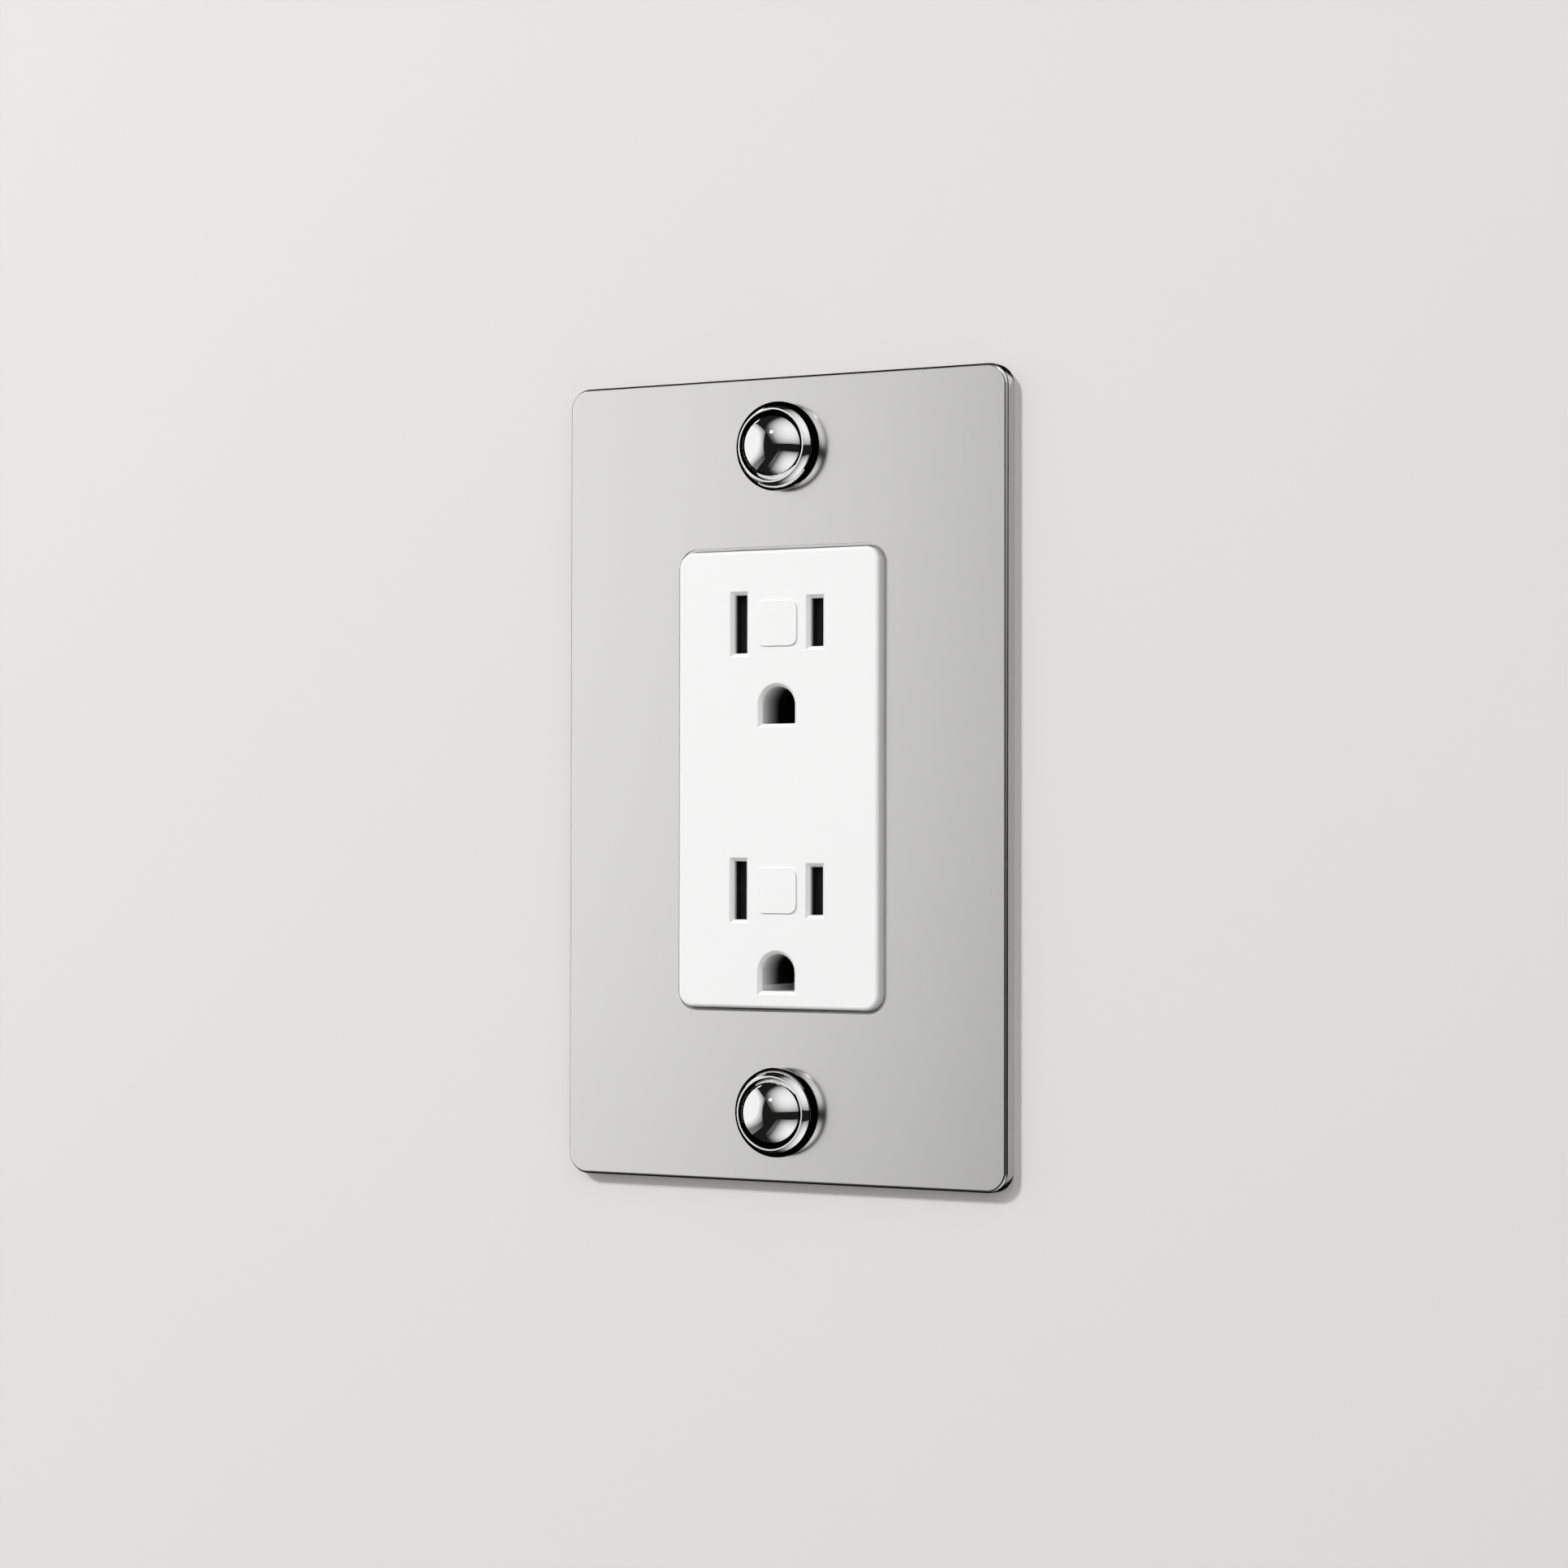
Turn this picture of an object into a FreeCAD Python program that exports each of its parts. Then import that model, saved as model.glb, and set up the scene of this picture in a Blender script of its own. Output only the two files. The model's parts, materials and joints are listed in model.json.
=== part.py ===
import FreeCAD, Part
import math
import os
import re
import Sketcher

# Duplex receptacle with its decorator wall plate. +Z is up, the front faces -Y, and the
# wall's surface is the plane Y = 0. The origin lies midway between the two box screws.

SIZES = {
    # how far joined shapes run into each other, and cutting shapes past what they cut
    "sink": 0.2,
    "past": 1.0,
    # wall plate, 2-7/8 x 4-5/8 in
    "plate_width": 73.0,
    "plate_height": 117.5,
    "plate_depth": 2.4,
    "plate_web": 1.0,
    "plate_rim": 1.6,
    "plate_corner": 3.1,
    "plate_edge": 0.5,
    "window_gap": 0.2,
    "window_lip": 0.5,
    "window_corner": 2.6,
    "plate_screw_spacing": 96.84,
    "plate_screw_hole": 2.1,
    # threads: 6-32 for the plate and box screws, 8-32 for the terminals
    "small_thread": 1.7526,
    "terminal_thread": 2.0828,
    "running_gap": 0.05,
    "fit_gap": 0.1,
    # ball-headed plate screws
    "dome_foot": 6.15,
    "dome_barrel": 2.5,
    "dome_seam": 5.4,
    "dome_seam_rise": 3.4,
    "dome_step": 0.2,
    "dome_spigot": 4.2,
    "dome_spigot_rise": 0.9,
    "dome_height": 6.6,
    "dome_washer": 4.5,
    "dome_washer_recess": 4.7,
    "washer_gauge": 0.45,
    "stud_socket": 3.2,
    "stud_reach": 7.0,
    # decorator face
    "face_width": 33.4,
    "face_height": 66.8,
    "face_forward": 3.8,
    "face_gauge": 2.4,
    "face_corner": 2.3,
    "face_edge": 0.6,
    "face_wall": 1.6,
    "outlet_spacing": 38.9,
    "outlet_offset": 3.2,
    "blade_offset": 6.35,
    "slot_width": 2.05,
    "neutral_slot": 8.5,
    "hot_slot": 6.95,
    "ground_drop": 11.9,
    "ground_radius": 2.7,
    "slot_chamfer": 0.55,
    "pad_width": 6.6,
    "pad_rise": 0.25,
    "pad_corner": 1.2,
    "tube_half": 3.3,
    "tube_back": 7.5,
    # body behind the wall's surface
    "skirt_side": 0.6,
    "skirt_end": 1.5,
    "skirt_front": 0.4,
    "parting": 9.0,
    "body_back": 26.0,
    "body_wall": 1.6,
    "body_corner": 1.0,
    "post_half": 2.3,
    "post_pilot": 1.0,
    "assembly_head": 2.2,
    "assembly_rise": 1.4,
    "assembly_tip": 0.8,
    "post_clear": 0.3,
    # mounting strap
    "strap_front": 0.4,
    "strap_gauge": 1.3,
    "strap_width": 16.0,
    "ear_width": 20.0,
    "strap_length": 105.0,
    "ear_corner": 3.0,
    "bend_share": 0.9,
    "slot_end_share": 0.45,
    "box_screw_spacing": 83.34,
    "box_slot_length": 7.0,
    "box_slot_width": 4.4,
    "box_screw_reach": 16.0,
    "box_neck": 1.5,
    "neck_clear": 0.3,
    "box_head": 3.4,
    "box_head_rise": 1.4,
    "box_crown": 0.6,
    "box_crown_in": 0.8,
    "box_drive_half": 0.5,
    "box_drive_depth": 0.8,
    "retainer_half": 4.5,
    "retainer_gauge": 0.8,
    # terminals
    "terminal_y": 17.0,
    "terminal_z": 9.5,
    "pad_front": 12.4,
    "pad_back": 21.6,
    "pad_inner": 3.0,
    "pad_outer": 16.0,
    "window_margin": 0.5,
    "strip_gauge": 0.8,
    "pad_gauge": 1.0,
    "strip_front": 11.0,
    "strip_back": 22.5,
    "strip_split": 1.5,
    "strip_margin": 1.0,
    "tab_half": 2.0,
    "tab_gauge": 0.6,
    "barrier": 1.2,
    "barrier_reach": 2.6,
    "barrier_root": 0.5,
    "clamp_half": 4.2,
    "clamp_gauge": 1.0,
    "terminal_head": 4.0,
    "terminal_rise": 2.3,
    "terminal_crown": 0.7,
    "terminal_reach": 6.0,
    "drive_width": 1.2,
    "drive_depth": 1.0,
    "drive_run": 5.0,
    # blade and ground contacts
    "leaf_gauge": 0.5,
    "blade_gap": 1.8,
    "leaf_half": 3.2,
    "leaf_front": 9.5,
    "leaf_back": 19.5,
    "ground_gap": 4.9,
    "ground_leaf_half": 2.4,
    "ground_leaf_front": 8.6,
    "ground_strip_half": 3.5,
    "ground_strip_margin": 3.7,
    "rivet": 1.45,
    "rivet_head": 2.6,
    "rivet_rise": 0.8,
    "rivet_upper": -4.0,
    "rivet_lower": -13.5,
    # ground terminal on a tab of the strap
    "green_y": 20.0,
    "green_z": -41.0,
    "green_half": 5.0,
    "green_reach": 5.0,
    # shutters
    "shutter_travel": 3.2,
    "shutter_half": 5.5,
    "shutter_end": 9.4,
    "shutter_window": 2.6,
    "tray_half": 14.4,
    "tray_wall": 1.0,
    "tray_floor": 1.2,
    "tray_pocket": 2.9,
    "tray_top": 6.4,
    "tray_bottom": 8.45,
    "tray_window_width": 2.8,
    "tray_window_height": 9.4,
    "lug_left": -2.6,
    "lug_right": -1.2,
    "lug_clear": 0.5,
    "lug_tail": 0.9,
    "lug_root": 0.5,
    "channel_rib": 0.6,
    "spring_drop": 7.3,
    "spring_radius": 0.8,
    "spring_wire": 0.2,
    "spring_pitch": 1.2,
    "spring_clear": 0.02,
}

Vector = FreeCAD.Vector
Rotation = FreeCAD.Rotation

doc = FreeCAD.newDocument("receptacle")
sheet = doc.addObject("Spreadsheet::Sheet", "sizes")
for row, (alias, size) in enumerate(SIZES.items(), 1):
    sheet.set(f"A{row}", alias)
    sheet.set(f"B{row}", str(size))
    sheet.setAlias(f"B{row}", alias)
doc.recompute()

WINDOW_WIDTH = "(face_width + 2 * window_gap)"
WINDOW_HEIGHT = "(face_height + 2 * window_gap)"
BODY_WIDTH = "(face_width + 2 * skirt_side)"
BODY_HEIGHT = "(face_height + 2 * skirt_end)"
CAVITY = f"({BODY_WIDTH} / 2 - body_wall)"
CAVITY_END = f"({BODY_HEIGHT} / 2 - body_wall)"
POST_X = f"({CAVITY} - post_half)"
POST_Z = f"({CAVITY_END} - post_half + sink)"
UPPER = "(outlet_offset + outlet_spacing / 2)"
LOWER = "(outlet_offset - outlet_spacing / 2)"
OUTLETS = {"upper": UPPER, "lower": LOWER}
FACE_BACK = "(face_gauge - face_forward)"
POST_FRONT = f"({FACE_BACK} + tray_pocket + tray_floor + post_clear)"
POSTS = [
    (f"{sx} * {POST_X}", f"{sz} * {POST_Z}")
    for sx in (-1, 1)
    for sz in (-1, 1)
]
TURNED = {
    "x": Rotation(Vector(0, 1, 0), 90),
    "y": Rotation(Vector(1, 0, 0), -90),
}
pieces = []


def cells(formula):
    """A formula with each size's name pointed at its cell."""
    return re.sub(r"[a-z]\w*", lambda word: f"sizes.{word.group()}", str(formula))


def value(formula):
    """What a formula comes to now."""
    return float(sheet.evalExpression(cells(formula)))


def bind(thing, prop, formula):
    thing.setExpression(prop, cells(formula))


def piece(thing, label):
    """Marks a finished sub-part; its label names its file."""
    thing.Label = label
    pieces.append(thing)
    return thing


# ---- Part primitives and booleans


def block(x, y, z):
    """A box between two formulas on each axis."""
    box = doc.addObject("Part::Box", "block")
    for axis, side, (low, high) in zip("xyz", ("Length", "Width", "Height"), (x, y, z)):
        bind(box, side, f"({high}) - ({low})")
        bind(box, f"Placement.Base.{axis}", low)
    return box


def rod(axis, centre, radius, low, high, tip=None):
    """A cylinder along an axis from low to high, or a cone where a tip radius is given."""
    if tip is None:
        bar = doc.addObject("Part::Cylinder", "rod")
        bind(bar, "Radius", radius)
    else:
        bar = doc.addObject("Part::Cone", "cone")
        bind(bar, "Radius1", radius)
        bind(bar, "Radius2", tip)
    bind(bar, "Height", f"({high}) - ({low})")
    bar.Placement = FreeCAD.Placement(Vector(), TURNED[axis])
    places = iter(centre)
    for name in "xyz":
        bind(bar, f"Placement.Base.{name}", low if name == axis else next(places))
    return bar


def join(*shapes):
    fused = doc.addObject("Part::MultiFuse", "join")
    fused.Shapes = list(shapes)
    fused.Refine = True
    return fused


def cut(base, *tools):
    result = doc.addObject("Part::Cut", "cut")
    result.Base = base
    result.Tool = tools[0] if len(tools) == 1 else join(*tools)
    return result


def mirrored(side, low, high):
    """An interval on the right, or its mirror image on the left."""
    return (low, high) if side > 0 else (f"-({high})", f"-({low})")


# ---- PartDesign bodies built up in layers along Y


def new_body(label):
    return piece(doc.addObject("PartDesign::Body", label), label)


def rectangle(x0, x1, z0, z1):
    def draw(sketch):
        corners = [Vector(-1, -1, 0), Vector(1, -1, 0), Vector(1, 1, 0), Vector(-1, 1, 0)]
        first = sketch.GeometryCount
        for i in range(4):
            sketch.addGeometry(Part.LineSegment(corners[i], corners[(i + 1) % 4]), False)
        for i in range(4):
            after = first + (i + 1) % 4
            sketch.addConstraint(Sketcher.Constraint("Coincident", first + i, 2, after, 1))
            way = "Vertical" if i % 2 else "Horizontal"
            sketch.addConstraint(Sketcher.Constraint(way, first + i))
        hold(sketch, "DistanceX", first, 1, x0)
        hold(sketch, "DistanceX", first + 1, 1, x1)
        hold(sketch, "DistanceY", first, 1, z0)
        hold(sketch, "DistanceY", first + 2, 1, z1)

    return draw


def square(x, z, half):
    return rectangle(f"{x} - {half}", f"{x} + {half}", f"{z} - {half}", f"{z} + {half}")


def circle(x, z, radius):
    def draw(sketch):
        index = sketch.addGeometry(Part.Circle(Vector(), Vector(0, 0, 1), 1.0), False)
        hold(sketch, "DistanceX", index, 3, x)
        hold(sketch, "DistanceY", index, 3, z)
        spot = sketch.addConstraint(Sketcher.Constraint("Radius", index, 1.0))
        sketch.setExpression(f"Constraints[{spot}]", cells(radius))

    return draw


def hold(sketch, kind, index, point, formula):
    """A driven distance from the sketch's origin to a point."""
    now = Sketcher.Constraint(kind, -1, 1, index, point, value(formula))
    sketch.setExpression(f"Constraints[{sketch.addConstraint(now)}]", cells(formula))


def sketch_on(body, role, offset, outlines):
    plane = [p for p in body.Origin.OriginFeatures if p.Role == role][0]
    sketch = body.newObject("Sketcher::SketchObject", "sketch")
    sketch.AttachmentSupport = [(plane, "")]
    sketch.MapMode = "FlatFace"
    bind(sketch, "AttachmentOffset.Base.z", offset)
    for draw in outlines:
        draw(sketch)
    return sketch


def add_layer(body, front, back, *outlines):
    """Material between two values of Y."""
    pad = body.newObject("PartDesign::Pad", "layer")
    pad.Profile = sketch_on(body, "XZ_Plane", f"-({back})", outlines)
    bind(pad, "Length", f"({back}) - ({front})")
    doc.recompute()


def pocket(body, sketch, depth):
    """A cut behind a sketch, whose volume shows that it met the body."""
    before = body.Shape.Volume
    opening = body.newObject("PartDesign::Pocket", "opening")
    opening.Profile = sketch
    bind(opening, "Length", depth)
    doc.recompute()
    if body.Shape.Volume >= before:
        raise ValueError(f"a cut in {body.Label} met nothing")


def cut_layer(body, front, back, *outlines):
    """A cut between two values of Y."""
    pocket(body, sketch_on(body, "XZ_Plane", f"-({front})", outlines), f"({back}) - ({front})")


def dress(body, kind, size, wanted):
    """A Fillet or Chamfer on the edges that wanted picks."""
    base = body.Tip
    names = [f"Edge{i}" for i, edge in enumerate(base.Shape.Edges, 1) if wanted(edge)]
    if not names:
        raise ValueError(f"no edge to dress in {body.Label}")
    feature = body.newObject(f"PartDesign::{kind}", kind.lower())
    feature.Base = (base, names)
    bind(feature, "Radius" if kind == "Fillet" else "Size", size)
    doc.recompute()


def runs_along(edge, axis):
    """Whether a straight edge runs along an axis."""
    if len(edge.Vertexes) != 2 or not isinstance(edge.Curve, Part.Line):
        return False
    return abs(getattr(edge.Curve.Direction, axis)) > 0.999


def lies_at(edge, axis, place):
    """Whether the whole edge lies in one plane across an axis."""
    box = edge.BoundBox
    low, high = getattr(box, f"{axis.upper()}Min"), getattr(box, f"{axis.upper()}Max")
    return abs(low - place) < 1e-4 and abs(high - place) < 1e-4


def wall_plate():
    """Pressed plate: a web with a rim turned back to the wall, a window and two screw holes."""
    body = new_body("wall_plate")
    half_x, half_z = "plate_width / 2", "plate_height / 2"
    add_layer(body, "-plate_depth", "0", rectangle(f"-{half_x}", half_x, f"-{half_z}", half_z))
    dress(body, "Fillet", "plate_corner", lambda edge: runs_along(edge, "y"))
    front = -value("plate_depth")
    dress(body, "Fillet", "plate_edge", lambda edge: lies_at(edge, "y", front))
    wide, tall = f"{WINDOW_WIDTH} / 2", f"{WINDOW_HEIGHT} / 2"
    cut_layer(body, "-plate_depth", "0", rectangle(f"-{wide}", wide, f"-{tall}", tall))
    inner = value(f"{WINDOW_WIDTH} / 2 + 0.01")
    dress(
        body,
        "Fillet",
        "window_corner",
        lambda edge: runs_along(edge, "y") and abs(edge.CenterOfMass.x) < inner,
    )
    inner_z = value(f"{WINDOW_HEIGHT} / 2 + 0.01")
    dress(
        body,
        "Fillet",
        "window_lip",
        lambda edge: lies_at(edge, "y", front)
        and abs(edge.CenterOfMass.x) < inner
        and abs(edge.CenterOfMass.z) < inner_z,
    )
    half_x, half_z = "(plate_width / 2 - plate_rim)", "(plate_height / 2 - plate_rim)"
    hollow = rectangle(f"-{half_x}", half_x, f"-{half_z}", half_z)
    cut_layer(body, "plate_web - plate_depth", "0", hollow)
    outer = value("plate_width / 2 - plate_rim - 0.01")
    dress(
        body,
        "Fillet",
        "plate_corner - plate_rim",
        lambda edge: runs_along(edge, "y") and outer < abs(edge.CenterOfMass.x) < outer + 0.1,
    )
    holes = [circle("0", f"{s} * plate_screw_spacing / 2", "plate_screw_hole") for s in (1, -1)]
    cut_layer(body, "-plate_depth", "0", *holes)


def turned(body, points):
    """An outline of radius and forward rise turned about Y.

    A third entry is the radius of an arc.
    """
    sketch = sketch_on(body, "XY_Plane", "0", [])
    spots = [Vector(value(point[0]), -value(point[1]), 0) for point in points]
    for i, point in enumerate(points):
        start, end = spots[i - 1], spots[i]
        if len(point) == 3:
            radius, chord = value(point[2]), end - start
            inward = Vector(-abs(chord.y), abs(chord.x), 0).normalize()
            sag = radius - math.sqrt(radius**2 - (chord.Length / 2) ** 2)
            sketch.addGeometry(Part.Arc(start, (start + end) / 2 - inward * sag, end), False)
        else:
            sketch.addGeometry(Part.LineSegment(start, end), False)
    for i, point in enumerate(points):
        into, out = tail(sketch, i, spots[i]), (i + 1) % len(points)
        start = tail(sketch, out, spots[i])
        sketch.addConstraint(Sketcher.Constraint("Coincident", i, into, out, start))
        hold(sketch, "DistanceX", i, into, point[0])
        hold(sketch, "DistanceY", i, into, f"-({point[1]})")
        if len(point) == 3:
            spot = sketch.addConstraint(Sketcher.Constraint("Radius", i, value(point[2])))
            sketch.setExpression(f"Constraints[{spot}]", cells(point[2]))
    revolution = body.newObject("PartDesign::Revolution", "turned")
    revolution.Profile = sketch
    revolution.ReferenceAxis = (sketch, ["V_Axis"])
    revolution.Angle = 360.0
    doc.recompute()


def tail(sketch, index, place):
    """Which end of a line or arc lies at a place: 1 for its start, 2 for its end."""
    return 1 if sketch.getPoint(index, 1).distanceToPoint(place) < 1e-6 else 2


def dome_screw(name, side):
    """Ball-headed plate screw: base and pressed-on cap, stud and nylon washer."""
    place = f"{side} * plate_screw_spacing / 2"
    foot = "(plate_depth + running_gap)"
    seam = f"({foot} + dome_seam_rise)"
    spigot = f"({seam} + dome_spigot_rise)"
    recess = f"({foot} + washer_gauge + running_gap)"
    socket = "(plate_depth + stud_socket)"
    top = f"({foot} + dome_height)"
    edge, rise = "(dome_seam - dome_step)", "(dome_height - dome_seam_rise)"

    base = new_body(f"{name}_dome_base")
    turned(
        base,
        [
            ("small_thread", recess),
            ("dome_washer_recess", recess),
            ("dome_washer_recess", foot),
            ("dome_foot", foot),
            ("dome_seam", seam, "dome_barrel"),
            ("dome_spigot", seam),
            ("dome_spigot", spigot),
            ("0", spigot),
            ("0", socket),
            ("small_thread", socket),
        ],
    )
    bind(base, "Placement.Base.z", place)

    cap = new_body(f"{name}_dome_cap")
    turned(
        cap,
        [
            ("0", spigot),
            ("dome_spigot", spigot),
            ("dome_spigot", seam),
            (edge, seam),
            ("0", top, f"({edge} * {edge} + {rise} * {rise}) / (2 * {rise})"),
        ],
    )
    bind(cap, "Placement.Base.z", place)

    stud = rod("y", ("0", place), "small_thread", "-plate_depth - stud_socket", "stud_reach")
    piece(stud, f"{name}_dome_stud")
    back = "-plate_depth"
    front = f"({back} - washer_gauge)"
    ring = rod("y", ("0", place), "dome_washer", front, back)
    clear = "small_thread + running_gap"
    hole = rod("y", ("0", place), clear, f"{front} - past", f"{back} + past")
    piece(cut(ring, hole), f"{name}_dome_washer")


def face_cover():
    """Decorator face: bezel, skirt behind the wall's surface, slots, ground tubes, blank pads."""
    body = new_body("face_cover")
    x, z = "face_width / 2", "face_height / 2"
    add_layer(body, "-face_forward", "skirt_front", rectangle(f"-{x}", x, f"-{z}", z))
    dress(body, "Fillet", "face_corner", lambda edge: runs_along(edge, "y"))
    front = -value("face_forward")
    dress(body, "Fillet", "face_edge", lambda edge: lies_at(edge, "y", front))
    x, z = f"{BODY_WIDTH} / 2", f"{BODY_HEIGHT} / 2"
    add_layer(body, "skirt_front", "parting", rectangle(f"-{x}", x, f"-{z}", z))
    side = value(f"{BODY_WIDTH} / 2")
    dress(
        body,
        "Fillet",
        "body_corner",
        lambda edge: runs_along(edge, "y") and abs(abs(edge.CenterOfMass.x) - side) < 1e-4,
    )
    x, z = "(face_width / 2 - face_wall)", "(face_height / 2 - face_wall)"
    cut_layer(body, FACE_BACK, "parting", rectangle(f"-{x}", x, f"-{z}", z))
    hollow = rectangle(f"-{CAVITY}", CAVITY, f"-{CAVITY_END}", CAVITY_END)
    cut_layer(body, POST_FRONT, "parting", hollow)
    add_layer(body, POST_FRONT, "parting", *[square(x, z, "post_half") for x, z in POSTS])
    pilots = [circle(x, z, "post_pilot") for x, z in POSTS]
    cut_layer(body, f"{POST_FRONT} + assembly_tip", "parting", *pilots)

    grounds = [f"({z0} - ground_drop)" for z0 in OUTLETS.values()]
    add_layer(body, FACE_BACK, "tube_back", *[square("0", g, "tube_half") for g in grounds])
    slots = []
    for z0 in OUTLETS.values():
        for centre, height in (("-blade_offset", "neutral_slot"), ("blade_offset", "hot_slot")):
            slots.append(
                rectangle(
                    f"{centre} - slot_width / 2",
                    f"{centre} + slot_width / 2",
                    f"{z0} - {height} / 2",
                    f"{z0} + {height} / 2",
                )
            )
    cut_layer(body, "-face_forward", FACE_BACK, *slots)
    for g in grounds:
        cut_layer(body, "-face_forward", "tube_back", circle("0", g, "ground_radius"))
        flat = rectangle("-ground_radius", "ground_radius", f"{g} - ground_radius", g)
        cut_layer(body, "-face_forward", "tube_back", flat)
    edge_x = value("face_width / 2 - face_corner")
    edge_z = value("face_height / 2 - face_corner")
    dress(
        body,
        "Chamfer",
        "slot_chamfer",
        lambda edge: lies_at(edge, "y", front)
        and abs(edge.CenterOfMass.x) < edge_x
        and abs(edge.CenterOfMass.z) < edge_z,
    )
    pads = [square("0", z0, "pad_width / 2") for z0 in OUTLETS.values()]
    add_layer(body, "-face_forward - pad_rise", "-face_forward", *pads)
    reach = value("pad_rise")
    dress(
        body,
        "Fillet",
        "pad_corner",
        lambda edge: runs_along(edge, "y") and abs(edge.BoundBox.YMin - front + reach) < 1e-4,
    )


def rear_body():
    """Moulded back half: walls, corner posts, side windows for the terminals, wire barriers."""
    body = new_body("rear_body")
    x, z = f"{BODY_WIDTH} / 2", f"{BODY_HEIGHT} / 2"
    add_layer(body, "parting", "body_back", rectangle(f"-{x}", x, f"-{z}", z))
    dress(body, "Fillet", "body_corner", lambda edge: runs_along(edge, "y"))
    floor = "(body_back - body_wall)"
    hollow = rectangle(f"-{CAVITY}", CAVITY, f"-{CAVITY_END}", CAVITY_END)
    cut_layer(body, "parting", floor, hollow)
    add_layer(body, "parting", floor, *[square(x, z, "post_half") for x, z in POSTS])
    inner = f"({CAVITY} - strip_gauge)"
    ribs = [
        rectangle(*mirrored(side, f"({inner} - body_wall)", inner), "-pad_inner", "pad_inner")
        for side in (1, -1)
    ]
    add_layer(body, "parting", floor, *ribs)
    holes = [circle(x, z, "post_pilot") for x, z in POSTS]
    cut_layer(body, "parting", "body_back", *holes)
    rivets = [circle("0", place, "rivet") for place in ("rivet_upper", "rivet_lower")]
    cut_layer(body, floor, "body_back", *rivets)
    edge = "(pad_outer + window_margin)"
    windows = [
        rectangle(*mirrored(side, f"({CAVITY} - past)", BODY_WIDTH), f"-{edge}", edge)
        for side in (1, -1)
    ]
    cut_layer(body, "pad_front - window_margin", "pad_back + window_margin", *windows)
    barriers = [
        rectangle(
            *mirrored(
                side, f"{BODY_WIDTH} / 2 - barrier_root", f"{BODY_WIDTH} / 2 + barrier_reach"
            ),
            *mirrored(end, edge, f"{edge} + barrier"),
        )
        for side in (1, -1)
        for end in (1, -1)
    ]
    add_layer(body, "pad_front - window_margin", "pad_back + window_margin", *barriers)


def mounting_strap():
    """Steel strap bent round the body's back and ends, with ears, box slots and a ground tab."""
    body = new_body("mounting_strap")
    leg_in = f"({BODY_HEIGHT} / 2 + fit_gap)"
    leg_out = f"({leg_in} + strap_gauge)"
    half, ear = "strap_width / 2", "ear_width / 2"
    ear_back = "(strap_front + strap_gauge)"
    web = rectangle(f"-{half}", half, f"-{leg_out}", leg_out)
    add_layer(body, "body_back", "body_back + strap_gauge", web)
    legs = [rectangle(f"-{half}", half, *mirrored(end, leg_in, leg_out)) for end in (1, -1)]
    add_layer(body, ear_back, "body_back", *legs)
    ears = [
        rectangle(f"-{ear}", ear, *mirrored(end, leg_in, "strap_length / 2")) for end in (1, -1)
    ]
    add_layer(body, "strap_front", ear_back, *ears)
    tab = rectangle(
        f"-{half}", f"-{half} + strap_gauge", "green_z - green_half", f"-{leg_in}"
    )
    add_layer(body, "green_y - green_half", "green_y + green_half", tab)
    far = value("strap_length / 2 - 0.01")
    dress(
        body,
        "Fillet",
        "ear_corner",
        lambda edge: runs_along(edge, "y") and abs(edge.CenterOfMass.z) > far,
    )
    back = value("body_back + strap_gauge")
    dress(
        body,
        "Fillet",
        "strap_gauge * bend_share",
        lambda edge: runs_along(edge, "x") and lies_at(edge, "y", back),
    )
    inner, front = value(leg_in) + 0.01, value("strap_front")
    dress(
        body,
        "Fillet",
        "strap_gauge * bend_share",
        lambda edge: runs_along(edge, "x")
        and lies_at(edge, "y", front)
        and abs(edge.CenterOfMass.z) < inner,
    )
    taps = [
        circle("0", f"{end} * plate_screw_spacing / 2", "small_thread + running_gap")
        for end in (1, -1)
    ]
    cut_layer(body, "strap_front", ear_back, *taps)
    slots = [
        rectangle(
            "-box_slot_length / 2",
            "box_slot_length / 2",
            f"{end} * box_screw_spacing / 2 - box_slot_width / 2",
            f"{end} * box_screw_spacing / 2 + box_slot_width / 2",
        )
        for end in (1, -1)
    ]
    cut_layer(body, "strap_front", ear_back, *slots)
    reach = value("box_slot_length / 2")
    dress(
        body,
        "Fillet",
        "box_slot_width * slot_end_share",
        lambda edge: runs_along(edge, "y") and abs(abs(edge.CenterOfMass.x) - reach) < 1e-4,
    )
    rivets = [circle("0", place, "rivet") for place in ("rivet_upper", "rivet_lower")]
    cut_layer(body, "body_back", "body_back + strap_gauge", *rivets)
    tap = circle("green_y", "green_z", "terminal_thread + running_gap")
    pocket(body, sketch_on(body, "YZ_Plane", "0", [tap]), "strap_width")


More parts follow.
